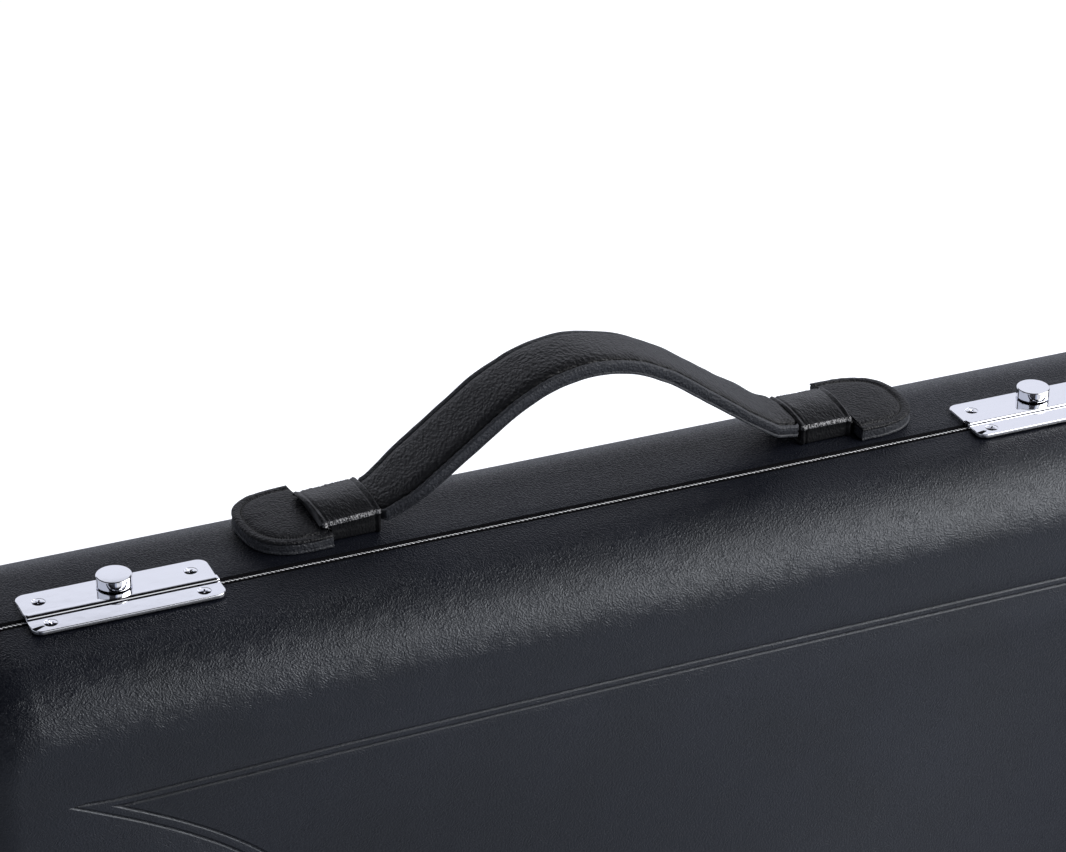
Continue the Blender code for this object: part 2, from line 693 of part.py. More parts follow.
def plate_outline(near, far):
    """A latch plate from above: square corners on the seam side, round ones on the far side."""
    half = LATCH_LENGTH / 2
    way = 1 if far > near else -1
    middle = far - way * PLATE_CORNER
    right = arc((half - PLATE_CORNER, middle), PLATE_CORNER, 0, way * 90, PLATE_CORNER_STEPS)
    left = arc((-half + PLATE_CORNER, middle), PLATE_CORNER, way * 90, way * 180, PLATE_CORNER_STEPS)
    return [(half, near), *right, *left, (-half, near)]


def countersinks(bm, facing):
    """Conical holes for the two screws of a latch plate."""
    wide = SCREW_HEAD_RADIUS + FIT
    narrow = SCREW_SHANK_RADIUS + FIT
    profile = [(narrow, FIT - OVERRUN), (narrow, FIT), (wide, PLATE_TOP), (wide, PLATE_TOP + OVERRUN)]
    for centre in latch_screw_places(facing).values():
        turned(bm, profile, SCREW_SIDES, centre)
    return bm


def base_latch_plate(side, location, finish):
    """The plate on the base, with a slot for the button's stem that the cap always covers."""
    outline = plate_outline(BEAD_RADIUS + FIT, BASE_PLATE_REACH)
    bm = prism(bmesh.new(), outline, "Z", FIT, PLATE_TOP)
    plate = solid(f"{SIDE_NAMES[side]}_base_latch_plate", bm, finish, location)
    combine(plate, "DIFFERENCE", countersinks(bmesh.new(), BASE_WAY), location)
    radius = STEM_RADIUS + FIT
    rest = circle(radius, ROUND_SIDES, (0, BUTTON_Y))
    reached = [(x + LATCH_TRAVEL, y) for x, y in rest]
    quarter = ROUND_SIDES // 4
    right = reached[-quarter:] + reached[: quarter + 1]
    left = rest[quarter : 3 * quarter + 1]
    slot = [(side * x, y) for x, y in right + left]
    bm = prism(bmesh.new(), slot, "Z", FIT - OVERRUN, PLATE_TOP + OVERRUN)
    return combine(plate, "DIFFERENCE", bm, location)


def lid_latch_plate(side, location, finish, parent):
    """The plate on the lid, with the half-round bead that covers the seam."""
    outline = plate_outline(0, -LID_PLATE_REACH)
    bm = prism(bmesh.new(), outline, "Z", FIT, PLATE_TOP)
    plate = solid(f"{SIDE_NAMES[side]}_lid_latch_plate", bm, finish, location, parent)
    half = LATCH_LENGTH / 2
    bead = prism(bmesh.new(), arc((0, FIT), BEAD_RADIUS, 0, 180, WELL_STEPS), "X", -half, half)
    combine(plate, "UNION", bead, location)
    return combine(plate, "DIFFERENCE", countersinks(bmesh.new(), LID_WAY), location)


def button(side, location, finish, parent):
    """The push button: a flat cap on a stem that is riveted to the bolt."""
    under = PLATE_TOP + BUTTON_LIFT
    top = PLATE_TOP + BUTTON_HEIGHT
    narrow = BUTTON_RADIUS - BUTTON_EDGE
    profile = [
        (STEM_RADIUS, -BOLT_DROP + FIT),
        (STEM_RADIUS, under),
        (narrow, under),
        (BUTTON_RADIUS, under + BUTTON_EDGE),
        (BUTTON_RADIUS, top - BUTTON_EDGE),
        (narrow, top),
    ]
    bm = turned(bmesh.new(), profile, ROUND_SIDES)
    centre = Vector(location) + Vector((0, BUTTON_Y, 0))
    return solid(f"{SIDE_NAMES[side]}_button", bm, finish, centre, parent)


def bolt(side, location, finish, parent):
    """The sliding bolt, with two teeth that stand beside the heads of the catches."""
    half = BOLT_LENGTH / 2
    front = HOUSING_FRONT + HOUSING_SHEET + FIT
    rear = HOUSING_REAR - HOUSING_SHEET - FIT
    low = -BOLT_DROP - BOLT_THICKNESS
    bm = box(bmesh.new(), (-half, front, low), (half, rear, -BOLT_DROP))
    piece = solid(f"{SIDE_NAMES[side]}_bolt", bm, finish, location, parent)
    teeth = bmesh.new()
    for centre in (-CATCH_SPACING / 2, CATCH_SPACING / 2):
        near = centre + side * (CATCH_HEAD_WIDTH / 2 + CATCH_PASS_GAP)
        far = near + side * TOOTH_LENGTH
        corner = min(near, far), front, -BOLT_DROP - BOLT_THICKNESS / 2
        box(teeth, corner, (max(near, far), front + TOOTH_DEPTH, -BOLT_DROP + TOOTH_RISE))
    return combine(piece, "UNION", teeth, location)


def housing(side, location, finish):
    """The sheet steel box under the plate that guides the bolt."""
    half = HOUSING_LENGTH / 2
    inner = half - HOUSING_SHEET
    outer = box_outline(-half, half, HOUSING_FRONT, HOUSING_REAR)
    hollow = box_outline(-inner, inner, HOUSING_FRONT + HOUSING_SHEET, HOUSING_REAR - HOUSING_SHEET)
    floor = -HOUSING_DEPTH + HOUSING_SHEET
    heights = ((outer, -HOUSING_DEPTH), (outer, 0), (hollow, 0), (hollow, floor))
    bm = loft(bmesh.new(), [lay(outline, "Z", height) for outline, height in heights])
    piece = solid(f"{SIDE_NAMES[side]}_latch_housing", bm, finish, location)
    windows = catch_windows(bmesh.new(), HOUSING_FRONT - OVERRUN, HOUSING_FRONT + HOUSING_SHEET + FIT)
    return combine(piece, "DIFFERENCE", windows, location)


def spring_points(side):
    """The spring's centre line: a helix along X between the housing's inner end and the bolt."""
    start = HOUSING_LENGTH / 2 - HOUSING_SHEET - FIT - SPRING_WIRE_RADIUS
    end = BOLT_LENGTH / 2 + FIT + SPRING_WIRE_RADIUS
    count = SPRING_TURNS * SPRING_POINTS
    centre_y = (HOUSING_FRONT + HOUSING_REAR) / 2
    points = []
    for step in range(count + 1):
        turn = math.tau * step / SPRING_POINTS
        x = -side * (start + (end - start) * step / count)
        radial = SPRING_RADIUS * math.cos(turn), SPRING_RADIUS * math.sin(turn)
        points.append(Vector((x, centre_y + radial[0], -SPRING_HEIGHT + radial[1])))
    return points


def least_gap(points, skip, diameter):
    """The least gap between turns of a wound tube, measured between points at least some steps apart."""
    pairs = ((a, b) for i, a in enumerate(points) for b in points[i + skip :])
    return min((a - b).length for a, b in pairs) - diameter


def latch_spring(side, location, finish):
    """The spring that draws the bolt back."""
    name = f"{SIDE_NAMES[side]}_latch_spring"
    points = spring_points(side)
    curve = bpy.data.curves.new(name, "CURVE")
    curve.dimensions = "3D"
    curve.bevel_depth = SPRING_WIRE_RADIUS
    curve.bevel_resolution = 1
    curve.use_fill_caps = True
    spline = curve.splines.new("POLY")
    spline.points.add(len(points) - 1)
    for knot, point in zip(spline.points, points):
        knot.co = (*point, 1)
    curve.materials.append(finish)
    gap = least_gap(points, SPRING_POINTS // 2, 2 * SPRING_WIRE_RADIUS)
    print(f"{name}: least gap between turns {gap * MM_PER_METRE:.2f} mm")
    return place(bpy.data.objects.new(name, curve), location)


def catch_bar_half():
    return (CATCH_SPACING + CATCH_HEAD_WIDTH) / 2


def catch(side, location, finish, parent):
    """The lid's catches: a bar let into the lid's rim, with two tongues whose heads pass into the housing."""
    low, high = -CATCH_DROP - CATCH_THICKNESS, -CATCH_DROP
    half = catch_bar_half()
    bar_front = -CATCH_BAR_BACK
    bm = box(bmesh.new(), (-half, bar_front - CATCH_BAR_WIDTH, low), (half, bar_front, high))
    piece = solid(f"{SIDE_NAMES[side]}_catch", bm, finish, location, parent)
    tongue, head = CATCH_TONGUE_WIDTH / 2, CATCH_HEAD_WIDTH / 2
    neck_end = CATCH_REACH - CATCH_HEAD_LENGTH
    root = bar_front - CATCH_BAR_WIDTH / 2
    tongues = bmesh.new()
    for centre in (-CATCH_SPACING / 2, CATCH_SPACING / 2):
        half_outline = [(tongue, root), (tongue, neck_end), (head, neck_end), (head, CATCH_REACH)]
        right = [(centre + x, y) for x, y in half_outline]
        left = [(centre - x, y) for x, y in reversed(half_outline)]
        prism(tongues, right + left, "Z", low, high)
    return combine(piece, "UNION", tongues, location)


def latch_screws(latch, facing, finish, parent=None):
    """The two countersunk screws of a latch plate."""
    profile = [
        (SCREW_SHANK_RADIUS, -SCREW_GRIP),
        (SCREW_SHANK_RADIUS, FIT),
        (SCREW_HEAD_RADIUS, PLATE_TOP),
        (SCREW_HEAD_RADIUS - SCREW_DOME_INSET, PLATE_TOP + SCREW_DOME),
    ]
    for side, (x, y) in latch_screw_places(facing).items():
        name = f"{SIDE_NAMES[latch]}_{SHELL_NAMES[facing]}_latch_screw_{end_name(latch, side)}"
        location = (latch * LATCH_X + x, SEAM_Y + y, TOP_Z)
        solid(name, turned(bmesh.new(), profile, SCREW_SIDES), finish, location, parent)


def end_name(side, end):
    """Whether an end of a fitting on one side of the case is its outer or its inner one."""
    return "outer" if side == end else "inner"


def latches(plated, steel, lid_axis):
    """Both latches, each with a button and bolt that slide outwards together."""
    for side, location in latch_places().items():
        slide = axis_empty(f"{SIDE_NAMES[side]}_latch_slide", location)
        base_latch_plate(side, location, plated)
        housing(side, location, steel)
        latch_spring(side, location, steel)
        button(side, location, plated, slide)
        bolt(side, location, steel, slide)
        lid_latch_plate(side, location, plated, lid_axis)
        catch(side, location, steel, lid_axis)
        latch_screws(side, BASE_WAY, plated)
        latch_screws(side, LID_WAY, plated, lid_axis)


def rivet_places(side):
    """The rivets of one sleeve, from the case's middle and the seam."""
    centre_x = side * (SLEEVE_INNER_X + SLEEVE_LENGTH / 2)
    half = RIVET_SPACING / 2
    return {"front": (centre_x, HANDLE_Y - half), "rear": (centre_x, HANDLE_Y + half)}


def sleeve(side, finish):
    """A leather band round the strap, higher on the grip's side, with a channel for the tongue."""
    half = SLEEVE_WIDTH / 2
    stations = ((SLEEVE_OUTER_X, SLEEVE_TOP_OUTER), (SLEEVE_INNER_X, SLEEVE_TOP_INNER))
    outer, channel = [], []
    for x, top in stations:
        size = half, (top - FIT) / 2
        band = rounded_box(*size, SLEEVE_CORNER, SMALL_CORNER_STEPS, (0, (FIT + top) / 2))
        outer.append(lay(band, "X", side * x))
        size = half - SLEEVE_SIDE_WALL, (CHANNEL_TOP - CHANNEL_FLOOR) / 2
        middle = (0, (CHANNEL_TOP + CHANNEL_FLOOR) / 2)
        channel.append(lay(rounded_box(*size, CHANNEL_CORNER, SMALL_CORNER_STEPS, middle), "X", side * x))
    bm = loft(bmesh.new(), [*outer, *reversed(channel)], ring=True)
    location = (0, SEAM_Y + HANDLE_Y, TOP_Z)
    piece = solid(f"{SIDE_NAMES[side]}_sleeve", bm, finish, location)
    holes = bmesh.new()
    for centre in rivet_places(side).values():
        prism(holes, circle(RIVET_RADIUS + FIT, SCREW_SIDES, centre), "Z", -OVERRUN, CHANNEL_FLOOR + FIT)
    return combine(piece, "DIFFERENCE", holes, (0, SEAM_Y, TOP_Z))


def rivets(side, finish):
    """The two rivets through the floor of a sleeve into the base."""
    for end, (x, y) in rivet_places(side).items():
        round_outline = circle(RIVET_RADIUS, SCREW_SIDES)
        bm = prism(bmesh.new(), round_outline, "Z", -SHELL_WALL + FIT, CHANNEL_FLOOR - FIT)
        solid(f"{SIDE_NAMES[side]}_sleeve_rivet_{end}", bm, finish, (x, SEAM_Y + y, TOP_Z))


def end_outline(side, inset):
    """The D shape of a handle end: square by the sleeve, half an ellipse outside."""
    half = HANDLE_END_WIDTH / 2 - inset
    start = HANDLE_END_X + inset
    round_x = HANDLE_END_X + HANDLE_END_STRAIGHT
    reach = HANDLE_END_LENGTH - HANDLE_END_STRAIGHT - inset
    points = [(start, -half)]
    for step in range(END_ARC_STEPS + 1):
        turn = math.radians(-90 + 180 * step / END_ARC_STEPS)
        points.append((round_x + reach * math.cos(turn), half * math.sin(turn)))
    points.append((start, half))
    return [(side * x, y) for x, y in points]


def handle_end(side, finish, parent):
    """A D-shaped end of two layers of leather, with the tongue that runs in the sleeve."""
    middle = (HANDLE_END_BOTTOM + HANDLE_END_TOP) / 2
    edge = HANDLE_END_ROUND
    section = [
        (HANDLE_END_BOTTOM, edge),
        (HANDLE_END_BOTTOM + edge, 0),
        (middle - LAYER_GROOVE, 0),
        (middle, LAYER_GROOVE),
        (middle + LAYER_GROOVE, 0),
        (HANDLE_END_TOP - edge, 0),
        (HANDLE_END_TOP, edge),
    ]
    bm = loft(bmesh.new(), [lay(end_outline(side, inset), "Z", height) for height, inset in section])
    location = (0, SEAM_Y + HANDLE_Y, TOP_Z)
    piece = solid(f"{SIDE_NAMES[side]}_handle_end", bm, finish, location, parent)
    half = SLEEVE_WIDTH / 2 - SLEEVE_SIDE_WALL - FIT
    near = side * (SLEEVE_INNER_X + TONGUE_START)
    far = side * (HANDLE_END_X + HANDLE_END_STRAIGHT)
    corners = (min(near, far), -half, CHANNEL_FLOOR + FIT), (max(near, far), half, TONGUE_TOP)
    return combine(piece, "UNION", box(bmesh.new(), *corners), location)


def strap_point(share):
    """Place and slope of the strap's middle line: a foot arc, a straight flank and a top arc, mirrored."""
    slope = math.radians(STRAP_SLOPE)
    half = SLEEVE_INNER_X - FIT
    top_radius, flank = solve_strap(half, STRAP_RISE, slope)
    foot = STRAP_FOOT_RADIUS
    lengths = (foot * slope, flank, top_radius * slope)
    along = (1 - abs(share)) * sum(lengths)
    way = 1 if share >= 0 else -1
    if along <= lengths[0]:
        turn = along / foot
        x, rise = half - foot * math.sin(turn), foot * (1 - math.cos(turn))
    elif along <= lengths[0] + lengths[1]:
        run = along - lengths[0]
        turn = slope
        x = half - foot * math.sin(slope) - run * math.cos(slope)
        rise = foot * (1 - math.cos(slope)) + run * math.sin(slope)
    else:
        turn = (sum(lengths) - along) / top_radius
        x, rise = top_radius * math.sin(turn), STRAP_RISE - top_radius * (1 - math.cos(turn))
    return way * x, STRAP_SEAT + rise, way * turn


def solve_strap(half, rise, slope):
    """The top arc's radius and the flank's length that reach from the sleeve to the crest."""
    foot = STRAP_FOOT_RADIUS
    across = half - foot * math.sin(slope)
    up = rise - foot * (1 - math.cos(slope))
    sine, versine, cosine = math.sin(slope), 1 - math.cos(slope), math.cos(slope)
    top_radius = (across * sine - up * cosine) / (sine * sine - versine * cosine)
    return top_radius, (across - top_radius * sine) / cosine


def strap_section(thickness, half):
    """Half-width and height pairs round the grip: flat below, thin edges, a stitch groove and a crown."""
    edge = STRAP_EDGE_ROUND
    low = -thickness / 2
    top = thickness / 2
    rim_height = top - CROWN_RISE
    groove_y = half - STITCH_MARGIN
    right = [
        (half - edge, low),
        (half, low + edge),
        (half, rim_height - edge),
        (half - edge, rim_height),
        (groove_y + STITCH_HALF_WIDTH, rim_height),
        (groove_y, rim_height - STITCH_DEPTH),
        (groove_y - STITCH_HALF_WIDTH, rim_height + STITCH_DEPTH),
        (groove_y - CROWN_SHOULDER, top - STITCH_DEPTH / 2),
        (0, top),
    ]
    left = [(-y, height) for y, height in reversed(right[:-1])]
    return right + left


def strap(finish):
    """The padded grip, bent into its arch, with a thin neck at each end inside the sleeve's mouth."""
    loops = []
    for station in range(STRAP_STATIONS + 1):
        share = -1 + 2 * station / STRAP_STATIONS
        x, height, turn = strap_point(share)
        swell = math.cos(share * math.pi / 2) ** 2
        thickness = STRAP_END_THICKNESS + (STRAP_MID_THICKNESS - STRAP_END_THICKNESS) * swell
        opened = min(1, (1 - abs(share)) / STRAP_TAPER_SHARE)
        width = STRAP_END_WIDTH + (STRAP_WIDTH - STRAP_END_WIDTH) * math.sin(opened * math.pi / 2) ** 2
        loop = []
        for y, rise in strap_section(thickness, width / 2):
            loop.append((x + rise * math.sin(turn), y, height + rise * math.cos(turn)))
        loops.append(loop)
    location = (0, SEAM_Y + HANDLE_Y, TOP_Z)
    piece = solid("handle_strap", loft(bmesh.new(), loops), finish, location)
    half = SLEEVE_WIDTH / 2 - SLEEVE_SIDE_WALL - FIT
    necks = bmesh.new()
    for side in (LEFT, RIGHT):
        near = side * (SLEEVE_INNER_X - STRAP_END_THICKNESS / 2)
        far = side * (SLEEVE_INNER_X + NECK_REACH)
        corners = (min(near, far), -half, CHANNEL_FLOOR + STRAP_EDGE_ROUND), (max(near, far), half, NECK_TOP)
        box(necks, *corners)
    return combine(piece, "UNION", necks, location)


def handle(leather, steel):
    """The sliding strap handle. Its ends move outwards as the grip is pressed flat."""
    strap(leather)
    for side in (LEFT, RIGHT):
        location = (side * HANDLE_END_X, SEAM_Y + HANDLE_Y, TOP_Z)
        slide = axis_empty(f"{SIDE_NAMES[side]}_handle_slide", location)
        sleeve(side, leather)
        rivets(side, steel)
        handle_end(side, leather, slide)


def hinge_screw_places(facing):
    """The screws of one hinge leaf, from the hinge's centre: the left one, then the right one."""
    return {side: (side * HINGE_SCREW_SPACING / 2, facing * HINGE_SCREW_Y) for side in (LEFT, RIGHT)}


def rolled_eye(facing):
    """The end of a hinge leaf, rolled round the pin, as an outline in y and z about the axis."""
    bore = KNUCKLE_RADIUS - LEAF_THICKNESS
    arm = KNUCKLE_RADIUS + FIT + LEAF_THICKNESS
    outer = arc((0, 0), KNUCKLE_RADIUS, 90, 90 + ROLL_ARC, ROLL_ARC_STEPS)
    inner = arc((0, 0), bore, 90 + ROLL_ARC, 90, ROLL_ARC_STEPS)
    outline = [(arm, KNUCKLE_RADIUS), *outer, *inner, (arm, bore)]
    return [(facing * y, z) for y, z in outline]


def hinge_leaf(name, facing, location, finish, parent=None):
    """One leaf: a plate under the spine and its share of the knuckles. The base's leaf has the outer ones."""
    half = HINGE_LENGTH / 2
    low = KNUCKLE_RADIUS - LEAF_THICKNESS
    near = facing * (KNUCKLE_RADIUS + FIT)
    far = facing * LEAF_REACH
    corners = (-half, min(near, far), low), (half, max(near, far), KNUCKLE_RADIUS)
    leaf = solid(name, box(bmesh.new(), *corners), finish, location, parent)
    eyes = bmesh.new()
    pitch = HINGE_LENGTH / KNUCKLES
    for knuckle in range(0 if facing == BASE_WAY else 1, KNUCKLES, 2):
        start = -half + knuckle * pitch
        prism(eyes, rolled_eye(facing), "X", start + KNUCKLE_GAP / 2, start + pitch - KNUCKLE_GAP / 2)
    combine(leaf, "UNION", eyes, location)
    places = hinge_screw_places(facing).values()
    holes = shank_holes(bmesh.new(), places, low - OVERRUN, KNUCKLE_RADIUS + OVERRUN)
    return combine(leaf, "DIFFERENCE", holes, location)


def hinge_pin(name, location, finish):
    """A pin with a head at each end."""
    half = HINGE_LENGTH / 2
    tip = half + KNUCKLE_GAP + PIN_HEAD_LENGTH
    stations = [
        (-tip, PIN_HEAD_RADIUS),
        (-half - KNUCKLE_GAP, PIN_HEAD_RADIUS),
        (-half - KNUCKLE_GAP, PIN_RADIUS),
        (half + KNUCKLE_GAP, PIN_RADIUS),
        (half + KNUCKLE_GAP, PIN_HEAD_RADIUS),
        (tip, PIN_HEAD_RADIUS),
    ]
    loops = [lay(circle(radius, SCREW_SIDES), "X", x) for x, radius in stations]
    return solid(name, loft(bmesh.new(), loops), finish, location)


def hinge_screws(hinge, facing, finish, parent=None):
    """The two screws of a hinge leaf."""
    face = HINGE_DROP - KNUCKLE_RADIUS + LEAF_THICKNESS
    head = face + FIT
    profile = [
        (SCREW_SHANK_RADIUS, SCREW_GRIP),
        (SCREW_SHANK_RADIUS, -head),
        (SCREW_HEAD_RADIUS, -head),
        (SCREW_HEAD_RADIUS, -head - HINGE_HEAD_HEIGHT / 2),
        (SCREW_HEAD_RADIUS - SCREW_DOME_INSET, -head - HINGE_HEAD_HEIGHT),
    ]
    for side, (x, y) in hinge_screw_places(facing).items():
        name = f"{SIDE_NAMES[hinge]}_{SHELL_NAMES[facing]}_hinge_screw_{end_name(hinge, side)}"
        location = (hinge * HINGE_X + x, SEAM_Y + y, SPINE_Z)
        solid(name, turned(bmesh.new(), profile, SCREW_SIDES), finish, location, parent)


def hinges(finish, lid_axis):
    """Two hinges on the spine."""
    for side in (LEFT, RIGHT):
        location = (side * HINGE_X, SEAM_Y, HINGE_Z)
        name = SIDE_NAMES[side]
        hinge_leaf(f"{name}_base_hinge_leaf", BASE_WAY, location, finish)
        hinge_leaf(f"{name}_lid_hinge_leaf", LID_WAY, location, finish, lid_axis)
        hinge_pin(f"{name}_hinge_pin", location, finish)
        hinge_screws(side, BASE_WAY, finish)
        hinge_screws(side, LID_WAY, finish, lid_axis)


def foot_place(side, facing):
    """The centre of one foot, from the case's middle and the seam."""
    return side * FOOT_X, BASE_FOOT_Y if facing == BASE_WAY else -LID_FOOT_Y


def outer_form(facing):
    """The room that a closed shell takes up, with the clearance round it."""
    depth, flat, drop = SHELL_FORMS[facing]
    section = [(-FIT, -FIT), *[roll(flat, depth, drop, step) for step in range(ROLL_STEPS + 1)]]
    grown = [(facing * back, inset - FIT) for back, inset in section]
    return loft(bmesh.new(), [lay(case_outline(inset), "Y", back) for back, inset in grown])


def foot(side, facing, finish, parent=None):
    """A domed foot that follows the spine's roll, on a stud that is pressed into the spine."""
    profile = [(FOOT_RADIUS, FOOT_RADIUS)]
    for step in range(FOOT_STEPS + 1):
        turn = math.radians(90 * step / FOOT_STEPS)
        radius = FOOT_SOLE_RADIUS + (FOOT_RADIUS - FOOT_SOLE_RADIUS) * math.cos(turn)
        depth = FOOT_HEIGHT / 2 + FOOT_HEIGHT / 2 * math.sin(turn)
        profile.append((radius, -depth))
    x, y = foot_place(side, facing)
    name = f"{SIDE_NAMES[side]}_{SHELL_NAMES[facing]}_foot"
    location = (x, SEAM_Y + y, SPINE_Z)
    piece = solid(name, turned(bmesh.new(), profile, ROUND_SIDES), finish, location, parent)
    combine(piece, "DIFFERENCE", outer_form(facing), (0, SEAM_Y, CENTRE_Z))
    stud = turned(bmesh.new(), [(STUD_RADIUS, -FOOT_HEIGHT / 2), (STUD_RADIUS, STUD_LENGTH)], SCREW_SIDES)
    return combine(piece, "UNION", stud, location)


def main():
    for obj in list(bpy.data.objects):
        bpy.data.objects.remove(obj)
    leatherette = material("leatherette", (0.17, 0.18, 0.22), 0.45)
    plush = material("plush", (0.13, 0.13, 0.16), 0.95)
    plated = material("plated", (0.88, 0.88, 0.90), 0.08, 1.0)
    steel = material("steel", (0.60, 0.60, 0.62), 0.35, 1.0)
    leather = material("leather", (0.12, 0.12, 0.13), 0.5)
    rubber = material("rubber", (0.06, 0.06, 0.06), 0.8)

    lid_axis = axis_empty("lid_axis", (0, SEAM_Y, HINGE_Z))
    base = shell(BASE_WAY, leatherette)
    cut_base_shell(base)
    lid = shell(LID_WAY, leatherette, lid_axis)
    cut_lid_shell(lid)
    cut_panel_lines(lid)

    valance(plush)
    joint_block(plush)
    bell_block(plush)
    small_parts_block(plush)
    accessory_tray(plush)
    lid_pad(plush, lid_axis)

    latches(plated, steel, lid_axis)
    handle(leather, steel)
    hinges(steel, lid_axis)
    for side in (LEFT, RIGHT):
        foot(side, BASE_WAY, rubber)
        foot(side, LID_WAY, rubber, lid_axis)


main()
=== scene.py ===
"""Dresses the clarinet case: finer forms, materials, light and the camera of the photograph."""

import math

import bmesh
import bpy
from mathutils import Matrix, Vector, noise
from mathutils.geometry import tessellate_polygon

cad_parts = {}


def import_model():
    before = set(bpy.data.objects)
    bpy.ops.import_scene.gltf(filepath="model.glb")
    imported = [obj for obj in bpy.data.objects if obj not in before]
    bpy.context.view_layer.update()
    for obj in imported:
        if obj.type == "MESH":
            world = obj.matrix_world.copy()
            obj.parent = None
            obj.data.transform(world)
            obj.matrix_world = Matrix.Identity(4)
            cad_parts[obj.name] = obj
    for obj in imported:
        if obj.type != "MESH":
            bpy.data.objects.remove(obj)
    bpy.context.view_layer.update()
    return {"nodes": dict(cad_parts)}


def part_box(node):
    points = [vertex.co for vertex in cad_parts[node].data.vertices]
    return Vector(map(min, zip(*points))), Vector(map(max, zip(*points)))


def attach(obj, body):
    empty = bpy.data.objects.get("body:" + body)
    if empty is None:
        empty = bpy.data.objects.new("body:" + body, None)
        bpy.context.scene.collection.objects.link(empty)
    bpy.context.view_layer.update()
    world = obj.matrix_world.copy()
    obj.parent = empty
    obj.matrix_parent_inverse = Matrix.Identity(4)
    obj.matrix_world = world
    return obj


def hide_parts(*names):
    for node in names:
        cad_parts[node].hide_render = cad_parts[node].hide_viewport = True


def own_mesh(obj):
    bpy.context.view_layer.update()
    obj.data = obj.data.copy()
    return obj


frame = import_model()

# Case, in metres, as in the part
LENGTH, HEIGHT = 0.406, 0.25
LID_DEPTH, BASE_DEPTH, WALL = 0.036, 0.051, 0.0035
LID_FORM = (LID_DEPTH, 0.009, 0.02)
BASE_FORM = (BASE_DEPTH, 0.021, 0.022)
LID_DRAFT = 0.072
BASE_SWELL, BASE_SWELL_PLACE = 0.0002, 0.009
CORNER = 0.028
SEAM_HALF, EDGE_ROUND = 0.0003, 0.0009
SEAM_Y = -0.0075
SEAM_GROOVE = ((0.0023, 0), (0.00205, 0.00006), (0.0017, 0.00034), (0.0013, 0.0004), (0.00105, 0.00016))
CORD_RADIUS, CORD_BACK, CORD_INSET = 0.00031, 0.00072, 0.00008
SPINE_Z, TOP_Z = 0.006, 0.256
CENTRE_Z = (SPINE_Z + TOP_Z) / 2
FIT = 0.0003
SIDES = {-1: "left", 1: "right"}

# Lines on the lid's face
PANEL_HALF, PANEL_TOP, PANEL_DROP, PANEL_APEX, PANEL_CORNER = 0.171, 0.0898, 0.0024, 0.05, 0.016
PANEL_TIP_ANGLE, PANEL_TIP_REACH, PANEL_WAIST, PANEL_WAIST_REACH = 24.8, 0.058, 0.0749, 0.045
PANEL_TIP_RUN, PANEL_TIP_LIFT = 0.013, 0.0013
LINE_GAP_TOP, LINE_GAP_SIDE = 0.0023, 0.0029
LINE_HALF, LINE_DEPTH = 0.00062, 0.00055

# Latches
LATCH_X, LATCH_LENGTH = 0.143, 0.054
PLATE_TOP, PLATE_EDGE, PLATE_CORNER = 0.0011, 0.00022, 0.003
BASE_REACH, LID_REACH, BEAD_RADIUS = 0.0122, 0.0085, 0.00143
BUTTON_Y, BUTTON_RADIUS, BUTTON_TOP = 0.00756, 0.00497, 0.00453
STEM_RADIUS = 0.002
SCREW_X, BASE_SCREW_Y, LID_SCREW_Y, SCREW_RADIUS = 0.02132, 0.00674, -0.00494, 0.00178
SCREW_TOP, SCREW_DOME, SEAT_GAP = PLATE_TOP - 0.00004, 0.0001, 0.00016
# The cutter for a screw's cross, below and above its head: half-length, half-width, height
SCREW_CROSS = ((0.0005, 0.0001, -0.0006), (0.0013, 0.00026, 0.0006))
HOUSING_HALF, HOUSING_FRONT, HOUSING_REAR, HOUSING_DEPTH = 0.0193, 0.0022, 0.0118, 0.006
TOOTH_X, TOOTH_SLOT_HALF, CATCH_SLOT_HALF = 0.0095, 0.0034, 0.0128

# Handle
HANDLE_Y = 0.0187
SLEEVE_IN, SLEEVE_OUT, SLEEVE_HALF = 0.0655, 0.0817, 0.01075
END_X, END_LENGTH, END_HALF, END_STRAIGHT = 0.082, 0.0215, 0.0168, 0.003
# Each end as it lies: further out, further back, and the turn of its square side
END_LIES = {-1: (-0.0003, 0.003, 0.061), 1: (0.0013, 0.0017, 0.0)}
END_POWER, END_LOW, END_TOP, END_SAG = 2.6, 0.0004, 0.0042, 0.17
STRAP_HALF, STRAP_END_HALF, STRAP_TAPER = 0.013, 0.01095, 0.014
STRAP_SEAT, STRAP_RISE, STRAP_SLOPE, STRAP_FOOT = 0.0044, 0.0337, 36.0, 0.0145
STRAP_EDGE_DROP, STRAP_CHANNEL = 0.0007, 0.0024
# The worn grip against its even line, in millimetres: place, lift at the back, lift at the front
STRAP_WEAR = (
    (-66, 0.6, 0.6), (-58, 2.2, 2.2), (-30, 2.3, 2.4), (-20, 0.8, 1.7), (-5, 0.1, 1.3), (10, -0.9, 0.7),
    (20, -0.8, 0.1), (32, 0.8, 0.0), (46, 1.4, 0.0), (56, 2.3, 0.4), (62, 1.8, 1.1), (66, 1.0, 1.0),
)
STRAP_END_THICK, STRAP_MID_THICK = 0.0038, 0.0044
# Each sleeve as it lies: where its walls end, where its flap ends, and how much it rises outwards
SLEEVE_LIES = {-1: (0.0803, 0.0834, 0.0011), 1: (0.0817, 0.0827, 0.0001)}
SLEEVE_HIGH, SLEEVE_SKIN, FLAP_LOW = 0.0062, 0.0003, 0.00505
# One stitch along its length: share, size of its ring, lift in radii
STITCH_FORM = ((0, 0.35, -0.9), (0.15, 0.9, -0.1), (0.5, 1.0, 0.25), (0.85, 0.9, -0.1), (1, 0.35, -0.9))


# --- shapes

